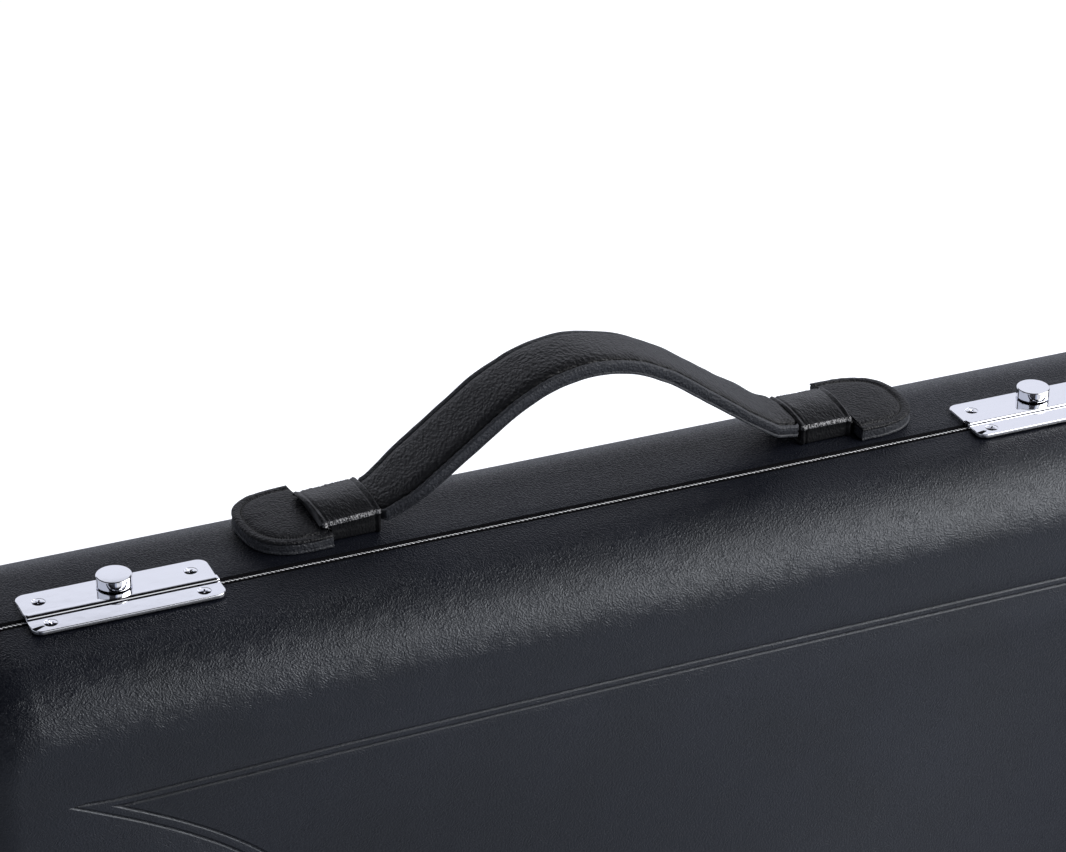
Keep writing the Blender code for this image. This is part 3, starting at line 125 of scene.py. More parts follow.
def arc(centre, radius, start, end, steps):
    """Points on an arc, angles in degrees."""
    turns = [math.radians(start + (end - start) * step / steps) for step in range(steps + 1)]
    return [(centre[0] + radius * math.cos(turn), centre[1] + radius * math.sin(turn)) for turn in turns]


def circle(radius, sides):
    return arc((0, 0), radius, 0, 360, sides)[:-1]


def rounded_box(half_u, half_v, radius, steps):
    """A rectangle with round corners."""
    points = []
    for quarter, (u, v) in enumerate(((1, 1), (-1, 1), (-1, -1), (1, -1))):
        middle = (u * (half_u - radius), v * (half_v - radius))
        points += arc(middle, radius, quarter * 90, quarter * 90 + 90, steps)
    return points


def lay(outline, height, origin=(0, 0, 0)):
    """A flat outline laid level, at a height above its origin."""
    x, y, z = origin
    return [(x + u, y + v, z + height) for u, v in outline]


def stand(outline, y):
    """A flat outline stood up square to Y, about the case's middle."""
    return [(u, y, CENTRE_Z + v) for u, v in outline]


def loft(bm, loops, ring=False, slots=None, caps=True):
    """Skins loops of equal length. A list of slots gives each band's material."""
    rows = [[bm.verts.new(point) for point in loop] for loop in loops]
    pairs = list(zip(rows, rows[1:]))
    if ring:
        pairs.append((rows[-1], rows[0]))
    elif caps:
        first, last = bm.faces.new(rows[0]), bm.faces.new(rows[-1])
        if slots:
            first.material_index, last.material_index = slots[0], slots[-1]
    for band, (low, high) in enumerate(pairs):
        for here, there in zip(range(len(low)), [*range(1, len(low)), 0]):
            face = bm.faces.new((low[here], low[there], high[there], high[here]))
            if slots:
                face.material_index = slots[band]
    return rows


def crisp(mesh, angle):
    """Smooth round stretches, with sharp edges at corners and round flat caps."""
    mesh.set_sharp_from_angle(angle=math.radians(angle))
    caps = {edge for face in mesh.polygons if len(face.vertices) > 10 for edge in face.edge_keys}
    for edge in mesh.edges:
        if edge.key in caps:
            edge.use_edge_sharp = True


def add_object(name, data):
    obj = bpy.data.objects.new(name, data)
    bpy.context.scene.collection.objects.link(obj)
    return obj


def piece(name, bm, angle):
    """An object from a bmesh: round stretches smooth, edges sharper than the angle left sharp."""
    bmesh.ops.remove_doubles(bm, verts=bm.verts, dist=0.000002)
    bmesh.ops.recalc_face_normals(bm, faces=bm.faces)
    mesh = bpy.data.meshes.new(name)
    bm.to_mesh(mesh)
    bm.free()
    mesh.shade_smooth()
    crisp(mesh, angle)
    return add_object(name, mesh)


def dress(obj, body, finishes, nodes=()):
    """Gives a piece its materials, its body and the nodes that it stands for."""
    for finish in finishes:
        obj.data.materials.append(finish)
    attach(obj, body)
    if nodes:
        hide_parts(*nodes)
    return obj


def modify(obj, kind, **settings):
    """Adds a modifier with its settings."""
    modifier = obj.modifiers.new(kind.lower(), kind)
    for key, value in settings.items():
        setattr(modifier, key, value)


def settle(obj):
    """Applies an object's modifiers."""
    depsgraph = bpy.context.evaluated_depsgraph_get()
    made = bpy.data.meshes.new_from_object(obj.evaluated_get(depsgraph))
    obj.modifiers.clear()
    obj.data = made


def lofted(name, loops, angle, ring=False, slots=None):
    """An object skinned over loops."""
    bm = bmesh.new()
    loft(bm, loops, ring, slots)
    return piece(name, bm, angle)


def box(low, high):
    """The loops of a box between two corners."""
    outline = [(low[0], low[1]), (high[0], low[1]), (high[0], high[1]), (low[0], high[1])]
    return [lay(outline, low[2]), lay(outline, high[2])]


def cut(obj, *solids):
    """Cuts lofted solids from a piece for good, in one go."""
    bm = bmesh.new()
    for loops in solids:
        loft(bm, loops)
    tool = piece("cutter", bm, 35)
    modify(obj, "BOOLEAN", operation="DIFFERENCE", solver="EXACT", object=tool)
    settle(obj)
    bpy.data.objects.remove(tool)
    crisp(obj.data, 35)


# --- materials

class Nodes:
    """A node tree and short ways to fill it."""

    def __init__(self, tree):
        self.tree = tree

    def feed(self, socket, value):
        if isinstance(value, bpy.types.NodeSocket):
            self.tree.links.new(value, socket)
        elif value is not None:
            socket.default_value = value

    def add(self, kind, settings=None, **inputs):
        node = self.tree.nodes.new(kind)
        for key, value in (settings or {}).items():
            setattr(node, key, value)
        for key, value in inputs.items():
            self.feed(node.inputs[key.replace("_", " ")], value)
        return node

    def fill(self, node, *values):
        """Feeds a node's inputs in their order and gives its first output."""
        for socket, value in zip(node.inputs, values):
            self.feed(socket, value)
        return node.outputs[0]

    def math(self, operation, first, second):
        return self.fill(self.add("ShaderNodeMath", {"operation": operation}), first, second)

    def range(self, value, low, high, to_low=0.0, to_high=1.0, smooth=False):
        kind = "SMOOTHSTEP" if smooth else "LINEAR"
        node = self.add("ShaderNodeMapRange", {"interpolation_type": kind}, Value=value)
        for key, number in (("From Min", low), ("From Max", high), ("To Min", to_low), ("To Max", to_high)):
            node.inputs[key].default_value = number
        return node.outputs[0]

    def colour(self, share, first, second):
        """From the first colour to the second."""
        node = self.add("ShaderNodeMix", {"data_type": "RGBA"})
        for index, value in ((0, share), (6, first), (7, second)):
            self.feed(node.inputs[index], value)
        return node.outputs[2]

    def camera_rays(self):
        """1 for what the camera sees directly."""
        return self.add("ShaderNodeLightPath").outputs["Is Camera Ray"]


class Finish(Nodes):
    """A Principled material and the nodes that feed it. Coordinates are metres in the part's frame."""

    def __init__(self, name, **sockets):
        self.material = bpy.data.materials.new(name)
        self.material.use_nodes = True
        super().__init__(self.material.node_tree)
        self.shader = self.tree.nodes["Principled BSDF"]
        for socket, value in sockets.items():
            self.shader.inputs[socket.replace("_", " ")].default_value = value
        self.place = self.add("ShaderNodeTexCoord").outputs["Object"]

    def stretch(self, scale, place=None):
        """Coordinates times a number on each axis."""
        times = self.add("ShaderNodeVectorMath", {"operation": "MULTIPLY"})
        return self.fill(times, place or self.place, scale)

    def warp(self, place, scale, reach):
        """Coordinates pushed about by a slow noise."""
        cloud = self.add("ShaderNodeTexNoise", Vector=place, Scale=scale, Detail=1.0).outputs["Color"]
        shift = self.add("ShaderNodeVectorMath", {"operation": "MULTIPLY_ADD"})
        return self.fill(shift, cloud, (reach, reach, reach), place)

    def lean(self, across, along, angle):
        """Two coordinates turned by an angle in degrees."""
        sine, cosine = math.sin(math.radians(angle)), math.cos(math.radians(angle))
        turned_pair = []
        for first, second in ((cosine, sine), (-sine, cosine)):
            parts = self.math("MULTIPLY", across, first), self.math("MULTIPLY", along, second)
            turned_pair.append(self.math("ADD", *parts))
        return turned_pair

    def noise(self, place, scale, detail=2.0, roughness=0.5, distortion=0.0):
        node = self.add("ShaderNodeTexNoise", Vector=place, Scale=scale, Detail=detail)
        node.inputs["Roughness"].default_value = roughness
        node.inputs["Distortion"].default_value = distortion
        return node.outputs["Fac"]

    def cells(self, place, scale, smoothness):
        node = self.add("ShaderNodeTexVoronoi", {"feature": "SMOOTH_F1"}, Vector=place, Scale=scale)
        node.inputs["Smoothness"].default_value = smoothness
        return node.outputs["Distance"]

    def blend(self, share, first, second):
        """From the first value to the second."""
        return self.fill(self.add("ShaderNodeMix", {"data_type": "FLOAT"}), share, None, first, second)

    def tint(self, share, first, second):
        """From the first colour to the second, on the shader's base colour."""
        self.feed(self.shader.inputs["Base Color"], self.colour(share, (*first, 1), (*second, 1)))

    def rough(self, *spread):
        """The shader's roughness, from a value's range to a range of roughness."""
        self.feed(self.shader.inputs["Roughness"], self.range(*spread))

    def bump(self, height, strength, distance, under=None):
        """A bump on the shader, over another bump where one is given."""
        node = self.add("ShaderNodeBump", Height=height, Strength=strength, Distance=distance)
        self.feed(node.inputs["Normal"], under)
        self.feed(self.shader.inputs["Normal"], node.outputs["Normal"])
        return node.outputs["Normal"]


def leatherette(name="leatherette", depth=0.00028):
    """Blue-black coated cloth over a moulded shell: a fine grain of short wrinkles, satin."""
    made = Finish(name, Specular_Tint=(0.9, 0.94, 1.0, 1.0))
    across, y, z = made.add("ShaderNodeSeparateXYZ", Vector=made.warp(made.place, 160, 0.0016)).outputs
    down, back = made.math("ADD", y, z), made.math("SUBTRACT", y, z)
    grains = []
    for angle in (0.0, 34.0, -28.0):
        u, v = made.lean(across, down, angle)
        spot = made.add("ShaderNodeCombineXYZ", X=u, Y=v, Z=back).outputs[0]
        grains.append(made.noise(made.stretch((2150, 1150, 1150), spot), 1.0, 1.5, 0.5, 0.3))
    facing = made.add("ShaderNodeNewGeometry").outputs["Normal"]
    upright = made.add("ShaderNodeSeparateXYZ", Vector=facing).outputs[2]
    patch = made.range(made.noise(made.place, 260, 1.0), 0.38, 0.62, smooth=True)
    leaning = made.blend(patch, grains[1], grains[2])
    grain = made.blend(made.range(upright, 0.8, 0.97, smooth=True), leaning, grains[0])
    slow = made.noise(made.place, 25, 3.0)
    made.bump(grain, 1.0, depth, made.bump(slow, 0.25, 0.0012))
    made.rough(grain, 0.38, 0.62, 0.52, 0.3)
    slant = made.add("ShaderNodeLayerWeight", Blend=0.5).outputs["Facing"]
    dip = made.range(slant, 0.28, 0.45, 0.5, 0.24, smooth=True)
    edge = made.range(slant, 0.6, 0.88, 0.0, 0.6, smooth=True)
    made.feed(made.shader.inputs["Specular IOR Level"], made.math("ADD", dip, edge))
    made.tint(made.range(slow, 0.35, 0.65), (0.0028, 0.0034, 0.006), (0.0046, 0.0055, 0.0098))
    return made.material


def plush():
    """Short-pile plush: a soft nap with patches that lie another way."""
    made = Finish("plush", Sheen_Weight=0.35, Sheen_Roughness=0.45, Sheen_Tint=(0.5, 0.52, 0.62, 1.0))
    pile = made.noise(made.warp(made.place, 120, 0.001), 2300, 2.0, 0.6)
    nap = made.noise(made.place, 55, 3.0, 0.6, 0.6)
    made.bump(pile, 0.8, 0.0005, made.bump(nap, 0.25, 0.0015))
    made.rough(nap, 0.3, 0.7, 0.82, 0.98)
    made.tint(made.math("MULTIPLY", pile, nap), (0.006, 0.006, 0.008), (0.034, 0.034, 0.044))
    return made.material


def chrome():
    """Bright plating with the faintest of wiping marks."""
    made = Finish("chrome", Metallic=1.0)
    marks = made.noise(made.stretch((260, 900, 900)), 1.0, 3.0, 0.6)
    made.rough(marks, 0.3, 0.7, 0.035, 0.075)
    made.tint(marks, (0.8, 0.81, 0.85), (0.86, 0.865, 0.9))
    made.bump(made.noise(made.place, 160, 2.0), 0.12, 0.0001)
    return made.material


def grained(name, scale, detail, roughness, gloss, tones, relief, **sockets):
    """A finish ruled by one grain, whose scale is per metre on each axis: its gloss, tones and relief."""
    made = Finish(name, **sockets)
    grain = made.noise(made.stretch(scale), 1.0, detail, roughness)
    made.rough(grain, 0.3, 0.7, *gloss)
    made.tint(grain, *tones)
    made.bump(grain, *relief)
    return made.material


def leather(name, scale, depth, tone, gloss, shine):
    """Black leather. The scale is of the grain on each axis, per metre."""
    made = Finish(name, Specular_IOR_Level=shine)
    place = made.stretch(scale, made.warp(made.place, 150, 0.0025))
    grain = made.blend(0.5, made.cells(place, 1.0, 0.35), made.noise(place, 0.9, 3.0, 0.6, 0.8))
    slow = made.noise(made.place, 90, 2.0)
    made.bump(grain, 0.7, depth, made.bump(slow, 0.3, 0.0006))
    made.rough(grain, 0.2, 0.8, gloss - 0.05, gloss + 0.09)
    made.tint(grain, tuple(0.7 * c for c in tone), tuple(1.3 * c for c in tone))
    return made.material


def wear_and_highlight_edge():
    """Cracked leather along a fold: pale specks painted in its colour, partly its worn core and partly a
    painted highlight where the fold catches the light.
    """
    made = Finish("wear_and_highlight_edge", Specular_IOR_Level=0.5)
    place = made.stretch((1900, 1500, 1500), made.warp(made.place, 400, 0.0006))
    specks = made.cells(place, 1.0, 0.2)
    crack = made.noise(place, 1.3, 3.0, 0.65, 0.6)
    specks_and_highlight = made.range(made.blend(0.5, specks, crack), 0.36, 0.64, smooth=True)
    made.rough(crack, 0.3, 0.7, 0.26, 0.42)
    # Pale specks painted on the fold: partly the worn core, partly a painted highlight.
    made.tint(specks_and_highlight, (0.012, 0.012, 0.013), (0.22, 0.22, 0.23))
    made.bump(specks, 1.0, 0.0003)
    return made.material


def cord():
    """A thin pale cord of twisted strands, with painted shade in the grooves between them."""
    made = Finish("cord", Specular_IOR_Level=0.6)
    x, y, z = made.add("ShaderNodeSeparateXYZ", Vector=made.stretch((760, 1500, 760))).outputs
    run = made.math("ADD", made.math("ADD", x, y), z)
    strand_relief_and_shade = made.math("PINGPONG", run, 0.5)
    fibre = made.noise(made.stretch((3000, 6000, 3000)), 1.0, 2.0)
    form = made.blend(0.2, made.range(strand_relief_and_shade, 0.12, 0.4, smooth=True), fibre)
    made.rough(fibre, 0.3, 0.7, 0.45, 0.65)
    # The dark stripes in the colour between strands are painted shade; the same strands also make the bump.
    made.tint(made.range(form, 0.25, 0.8), (0.015, 0.015, 0.017), (0.8, 0.8, 0.83))
    made.bump(form, 1.0, 0.0005)
    return made.material


LEATHERETTE = leatherette()
PRESSED = leatherette("pressed_leatherette", 0.0001)
PLUSH = plush()
CHROME = chrome()
STEEL = grained(
    "steel", (300, 5000, 5000), 2.0, 0.5, (0.26, 0.42),
    ((0.36, 0.36, 0.38), (0.5, 0.5, 0.52)), (0.25, 0.00003), Metallic=1.0,
)
RUBBER = grained(
    "rubber", (1800, 1800, 1800), 3.0, 0.6, (0.68, 0.85),
    ((0.006, 0.006, 0.006), (0.012, 0.012, 0.012)), (0.4, 0.0002), Specular_IOR_Level=0.35,
)
# The cloth where it turns in at the rim: black and almost matt
RIM = grained(
    "turned_edge", (1600, 1600, 1600), 2.0, 0.6, (0.6, 0.8),
    ((0.002, 0.002, 0.0025), (0.006, 0.006, 0.007)), (0.4, 0.0002), Specular_IOR_Level=0.02,
)
# The sewn edges' paler grey is partly the raw edge's own tone and partly painted light where the side faces
# catch the lamp.
RAW_AND_LIT_EDGE = leather("raw_and_lit_edge", (1300, 1300, 1300), 0.00075, (0.026, 0.028, 0.034), 0.48, 0.35)
WEAR_AND_HIGHLIGHT_EDGE = wear_and_highlight_edge()
STRAP_LEATHER = leather("strap_leather", (1100, 700, 1100), 0.00065, (0.006, 0.0062, 0.0074), 0.4, 0.29)
END_LEATHER = leather("end_leather", (1250, 1350, 1350), 0.0007, (0.006, 0.0063, 0.008), 0.42, 0.23)
SLEEVE_LEATHER = leather("sleeve_leather", (1700, 700, 1100), 0.0003, (0.006, 0.0062, 0.0072), 0.33, 0.31)
THREAD = grained(
    "thread", (2400, 5200, 5200), 2.0, 0.5, (0.45, 0.62),
    ((0.014, 0.014, 0.0154), (0.025, 0.025, 0.0275)), (0.5, 0.0001), Specular_IOR_Level=0.4,
)
CORD = cord()


# --- shells

def case_outline(inset):
    return rounded_box(LENGTH / 2 - inset, HEIGHT / 2 - inset, CORNER - inset, 16)


def roll(flat, depth, drop, share, draft=0.0):
    """Depth and inset on the rolled edge: a quarter of an ellipse that leans with the draft."""
    turn = math.radians(90 * share)
    back = flat + (depth - flat) * math.sin(turn)
    return back, draft * back + (drop - draft * depth) * (1 - math.cos(turn))


def shell_section(form, draft, swell, groove, roll_steps=28, flat_steps=8, rim_steps=5, inner_steps=12):
    """Outer and inner depth and inset pairs, from the face's edge round the rim to the inner face's edge."""
    depth, flat, drop = form
    outer = [roll(flat, depth, drop, 1 - step / roll_steps, draft) for step in range(roll_steps + 1)]
    near = SEAM_HALF + EDGE_ROUND + 0.0012
    for step in range(1, flat_steps):
        back = flat + (near - flat) * step / flat_steps
        outer.append((back, draft * back))
    place = BASE_SWELL_PLACE
    outer = [(back, inset - swell * back / place * math.exp(1 - back / place)) for back, inset in outer]
    lip = [*groove, *arc((SEAM_HALF + EDGE_ROUND, EDGE_ROUND), EDGE_ROUND, -90, -180, rim_steps)]
    inner = []
    for step in range(inner_steps + 1):
        back, inset = roll(flat, depth - WALL, drop - WALL, step / inner_steps)
        inner.append((back, inset + WALL))
    return outer, lip, [(SEAM_HALF, WALL), *inner]


def panel_top(x):
    """Height of the panel's upper line. It falls to the left and lifts to the tip."""
    fall = max(0, (PANEL_APEX - x) / (PANEL_APEX + PANEL_HALF))
    lift = max(0, (PANEL_TIP_RUN - PANEL_HALF - x) / PANEL_TIP_RUN)
    return PANEL_TOP - PANEL_DROP * fall**2 + PANEL_TIP_LIFT * lift


def panel_end(share, inset):
    """A point of the swept left end, from the tip at 0 to the waist at 1, moved inwards."""
    turn = math.radians(PANEL_TIP_ANGLE)
    tip = Vector((-PANEL_HALF, panel_top(-PANEL_HALF)))
    waist = Vector((PANEL_WAIST - PANEL_HALF, 0))
    first = tip + PANEL_TIP_REACH * Vector((math.cos(turn), -math.sin(turn)))
    second = waist + Vector((0, PANEL_WAIST_REACH))
    rest = 1 - share
    point = rest**3 * tip + 3 * rest**2 * share * first + 3 * rest * share**2 * second + share**3 * waist
    slope = rest**2 * (first - tip) + 2 * rest * share * (second - first) + share**2 * (waist - second)
    way = slope.normalized()
    return point + inset * Vector((-way.y, way.x))


def panel_outline(top_inset, end_inset, end_steps=30, top_steps=60, corner_steps=12):
    """The panel on the lid's face, moved inwards by one distance along the case and another at its end."""
    low, high = 0, 1
    for _ in range(30):
        share = (low + high) / 2
        point = panel_end(share, end_inset)
        if point.y > panel_top(point.x) - top_inset:
            low = share
        else:
            high = share
    half = [panel_end(high + (1 - high) * step / end_steps, end_inset) for step in range(end_steps)]
    tip = half[0]
    half.reverse()
    corner_x = PANEL_HALF - PANEL_CORNER
    for step in range(1, top_steps):
        x = tip.x + (corner_x - tip.x) * step / top_steps
        half.append((x, panel_top(x) - top_inset))
    half += arc((corner_x, PANEL_TOP - PANEL_CORNER), PANEL_CORNER - top_inset, 90, 0, corner_steps)
    return [panel_end(1, end_inset), *half, *[(x, -y) for x, y in reversed(half)]]


def flat_fill(bm, loops):
    """Fills the flat space inside the first closed loop of vertices and outside the others."""
    corners = [vert for loop in loops for vert in loop]
    for trio in tessellate_polygon([[vert.co for vert in loop] for loop in loops]):
        bm.faces.new([corners[i] for i in trio])


def groove_rows(bm, top_inset, end_inset):
    """A rounded groove in the lid's face. Returns its outer and inner loops."""
    profile = [(-1.0, 0), (-0.75, 0.1), (-0.42, 0.62), (-0.12, 0.97)]
    profile += [(-across, down) for across, down in reversed(profile)]
    loops = []
    for across, down in profile:
        shift = across * LINE_HALF
        outline = panel_outline(top_inset + shift, end_inset + shift)
        loops.append(stand(outline, SEAM_Y - LID_DEPTH + down * LINE_DEPTH))
    rows = loft(bm, loops, slots=[3] * len(loops), caps=False)
    return rows[0], rows[-1]


def shell(name, facing, form):
    """A shell: leatherette outside, its dark turned-in edge round the rim, plush inside."""
    if facing < 0:
        outer, lip, inner = shell_section(form, LID_DRAFT, 0.0, SEAM_GROOVE)
    else:
        outer, lip, inner = shell_section(form, 0.0, BASE_SWELL, ((0.0017, 0),))
    section = outer + lip + inner
    slots = [0] * len(outer) + [2] * len(lip) + [1] * (len(inner) - 1)
    bm = bmesh.new()
    loops = [stand(case_outline(inset), SEAM_Y + facing * back) for back, inset in section]
    rows = loft(bm, loops, slots=slots, caps=False)
    bm.faces.new(rows[-1]).material_index = 1
    if facing > 0:
        bm.faces.new(rows[0])
    else:
        outer_line = groove_rows(bm, 0, 0)
        inner_line = groove_rows(bm, LINE_GAP_TOP, LINE_GAP_SIDE)
        flat_fill(bm, [rows[0], outer_line[0]])
        flat_fill(bm, [outer_line[1], inner_line[0]])
        flat_fill(bm, [inner_line[1]])
    return piece(name, bm, 40)


def housing_box(x, top):
    """The opening for a latch's housing."""
    low = (x - HOUSING_HALF, SEAM_Y + HOUSING_FRONT, TOP_Z - HOUSING_DEPTH)
    return box(low, (x + HOUSING_HALF, SEAM_Y + HOUSING_REAR, top))


def base_shell():
    obj = shell("base_case", 1, BASE_FORM)
    for side in SIDES:
        x = side * LATCH_X
        cut(obj, housing_box(x, TOP_Z + 0.001))
        slots = []
        for centre in (x - TOOTH_X, x + TOOTH_X):
            low = (centre - TOOTH_SLOT_HALF, SEAM_Y - 0.001, TOP_Z - 0.003)
            slots.append(box(low, (centre + TOOTH_SLOT_HALF, SEAM_Y + 0.0025, TOP_Z - 0.001)))
        cut(obj, *slots)
    dress(obj, "base", (LEATHERETTE, PLUSH, RIM), ["base_shell"])


def lid_shell():
    obj = shell("lid_case", -1, LID_FORM)
    for side in SIDES:
        x = side * LATCH_X
        low = (x - CATCH_SLOT_HALF, SEAM_Y - 0.0053, TOP_Z - 0.0029)
        cut(obj, box(low, (x + CATCH_SLOT_HALF, SEAM_Y + 0.001, TOP_Z - 0.0011)))
    dress(obj, "lid", (LEATHERETTE, PLUSH, RIM, PRESSED), ["lid_shell"])


def lid_binding():
    """The thin pale cord along the seam."""
    section = circle(CORD_RADIUS, 12)
    loops = [stand(case_outline(CORD_INSET + v), SEAM_Y - CORD_BACK - u) for u, v in section]
    dress(lofted("lid_binding", loops, 80, ring=True), "lid", (CORD,))


base_shell()
lid_shell()
lid_binding()


# --- latches

def plate_outline(near, far, inset):
    """A plate from above: square corners by the seam, round ones on the far side."""
    half = LATCH_LENGTH / 2 - inset
    way = 1 if far > near else -1
    radius = PLATE_CORNER - inset
    middle = far - way * PLATE_CORNER
    near += way * inset
    centre = LATCH_LENGTH / 2 - PLATE_CORNER
    right = arc((centre, middle), radius, 0, way * 90, 10)
    left = arc((-centre, middle), radius, way * 90, way * 180, 10)
    return [(half, near), *right, *left, (-half, near)]


def plate(name, side, near, far, screw_y, body, node):
    """A latch plate whose edge is slightly rounded, with a sunk seat for each screw."""
    profile = [(0, 0.0001), *arc((PLATE_EDGE, PLATE_TOP - PLATE_EDGE), PLATE_EDGE, 180, 90, 3)]
    origin = (side * LATCH_X, SEAM_Y, TOP_Z)
    loops = [lay(plate_outline(near, far, inset), height, origin) for inset, height in profile]
    obj = lofted(name, loops, 50)
    ring = circle(SCREW_RADIUS + SEAT_GAP, 40)
    for end in SIDES:
        middle = (side * LATCH_X + end * SCREW_X, SEAM_Y + screw_y, TOP_Z)
        cut(obj, [lay(ring, PLATE_TOP - 0.0004, middle), lay(ring, PLATE_TOP + 0.0006, middle)])
    dress(obj, body, (CHROME,), [node])


def seam_bead(side):
    """The bead on the lid's plate: a flat crown between rounded edges, ends slightly drawn in."""
    half, edge = LATCH_LENGTH / 2, 0.00042
    foot, flat = BEAD_RADIUS - 0.00045, BEAD_RADIUS - edge
    right = [(foot, 0), (foot, 0.0009), (BEAD_RADIUS - 0.00003, 0.001), *arc((flat, flat), edge, 0, 90, 8)]
    right += [(flat - 0.00006, BEAD_RADIUS + 0.000004), (0, BEAD_RADIUS + 0.00001)]
    section = right + [(-y, z) for y, z in reversed(right[:-1])]
    stations = [(-half, 0.88), (-half + 0.00012, 0.97), (-half + 0.00024, 1.0), (-half + 0.0009, 1.0)]
    stations += [(-x, share) for x, share in reversed(stations)]
    loops = []
    for x, share in stations:
        place = side * LATCH_X + x
        loops.append([(place, SEAM_Y + y * share, TOP_Z + FIT + z * share) for y, z in section])
    dress(lofted(f"{SIDES[side]}_seam_bead", loops, 50), "lid", (CHROME,))


def turned(name, profile, sides, origin, angle):
    """A solid of revolution about Z, from (radius, height) pairs."""
    return lofted(name, [lay(circle(radius, sides), height, origin) for radius, height in profile], angle)


def button(side):
    """The push button: a cap with rounded edges on a stem."""
    under, edge, rim = PLATE_TOP + 0.00035, 0.0003, 0.00006
    flat = BUTTON_RADIUS - edge
    profile = [(STEM_RADIUS, -0.0027), (STEM_RADIUS, under), *arc((flat, under + edge), edge, -90, 0, 4)]
    profile += [(BUTTON_RADIUS, under + edge + rim), (BUTTON_RADIUS, BUTTON_TOP - edge - rim)]
    profile += [*arc((flat, BUTTON_TOP - edge), edge, 0, 90, 6), (flat - 0.00008, BUTTON_TOP + 0.000001)]
    profile += [(BUTTON_RADIUS * 0.6, BUTTON_TOP + 0.00001), (BUTTON_RADIUS * 0.2, BUTTON_TOP + 0.000012)]
    word = SIDES[side]
    origin = (side * LATCH_X, SEAM_Y + BUTTON_Y, TOP_Z)
    obj = turned(f"{word}_push_button", profile, 72, origin, 30)
    dress(obj, f"{word}_latch", (CHROME,), [f"{word}_button"])


def screw(name, origin, turn, body, node):
    """A raised countersunk screw with a cross recess."""
    profile = [(0.0008, -0.001), (SCREW_RADIUS, SCREW_TOP - 0.0001), (SCREW_RADIUS, SCREW_TOP)]
    for share in (0.97, 0.9, 0.78, 0.62, 0.42, 0.2, 0.06):
        profile.append((SCREW_RADIUS * share, SCREW_TOP + SCREW_DOME * (1 - share**2)))
    obj = turned(name, profile, 32, origin, 40)
    for quarter in (0, 90):
        spin = Matrix.Rotation(math.radians(turn + quarter), 3, "Z")
        loops = []
        for half_length, half_width, height in SCREW_CROSS:
            corners = [(u * half_length, v * half_width) for u, v in ((1, 1), (-1, 1), (-1, -1), (1, -1))]
            spots = [spin @ Vector((*corner, SCREW_TOP + height)) for corner in corners]
            loops.append([Vector(origin) + spot for spot in spots])
        cut(obj, loops)
    dress(obj, body, (CHROME,), [node])


def latches():
    for side, word in SIDES.items():
        near = BEAD_RADIUS + FIT
        plate(f"{word}_rear_plate", side, near, BASE_REACH, BASE_SCREW_Y, "base", f"{word}_base_latch_plate")
        plate(f"{word}_front_plate", side, -0.0002, -LID_REACH, LID_SCREW_Y, "lid", f"{word}_lid_latch_plate")
        seam_bead(side)
        button(side)
        for end in SIDES:
            place = "outer" if end == side else "inner"
            x = side * LATCH_X + end * SCREW_X
            spin = 20 + 31 * end + 17 * side
            rear = (x, SEAM_Y + BASE_SCREW_Y, TOP_Z)
            front = (x, SEAM_Y + LID_SCREW_Y, TOP_Z)
            screw(f"{word}_rear_screw_{place}", rear, spin, "base", f"{word}_base_latch_screw_{place}")
            screw(f"{word}_front_screw_{place}", front, spin + 40, "lid", f"{word}_lid_latch_screw_{place}")


latches()


# --- handle

HANDLE_ORIGIN = Vector((0, SEAM_Y + HANDLE_Y, TOP_Z))


def strap_line(share):
    """Place and slope of the strap's middle line, from the left end at -1 to the right end at 1."""
    slope, foot, half = math.radians(STRAP_SLOPE), STRAP_FOOT, SLEEVE_IN - FIT
    sine, cosine = math.sin(slope), math.cos(slope)
    across, up = half - foot * sine, STRAP_RISE - foot * (1 - cosine)
    top_radius = (across * sine - up * cosine) / (sine * sine - (1 - cosine) * cosine)
    flank = (across - top_radius * sine) / cosine
    bend = foot * slope
    whole = bend + flank + top_radius * slope
    along = (1 - abs(share)) * whole
    if along <= bend:
        turn = along / foot
        x, rise = half - foot * math.sin(turn), foot * (1 - math.cos(turn))
    elif along <= bend + flank:
        turn, run = slope, along - bend
        x, rise = across - run * cosine, foot * (1 - cosine) + run * sine
    else:
        turn = (whole - along) / top_radius
        x, rise = top_radius * math.sin(turn), STRAP_RISE - top_radius * (1 - math.cos(turn))
    way = 1 if share >= 0 else -1
    return way * x, STRAP_SEAT + rise, way * turn


def strap_thickness(share):
    return STRAP_END_THICK + (STRAP_MID_THICK - STRAP_END_THICK) * math.cos(share * math.pi / 2) ** 2


def swell_at(x, centre, spread):
    return math.exp(-(((x - centre) / spread) ** 2))


def strap_half(x):
    """The grip's half-width, which narrows towards the sleeves."""
    opened = min(1.0, max(0.0, SLEEVE_IN - FIT - abs(x)) / STRAP_TAPER)
    return STRAP_END_HALF + (STRAP_HALF - STRAP_END_HALF) * math.sin(opened * math.pi / 2) ** 2


def strap_wear(x, y):
    """How far the worn grip stands above its even line at a place."""
    front = 0.5 - y / (2 * STRAP_HALF)
    for here, there in zip(STRAP_WEAR, STRAP_WEAR[1:]):
        if x * 1000 <= there[0]:
            share = min(1.0, max(0.0, (x * 1000 - here[0]) / (there[0] - here[0])))
            share = share * share * (3 - 2 * share)
            back_lift, front_lift = (here[i] + (there[i] - here[i]) * share for i in (1, 2))
            return ((1 - front) * back_lift + front * front_lift) / 1000
    return 0.0


def strap_spot(share, y, rise):
    """A point on the strap: its share of the length, place across and height over the middle line."""
    x, height, turn = strap_line(share)
    height += strap_wear(x, y)
    return HANDLE_ORIGIN + Vector((x + rise * math.sin(turn), y, height + rise * math.cos(turn)))


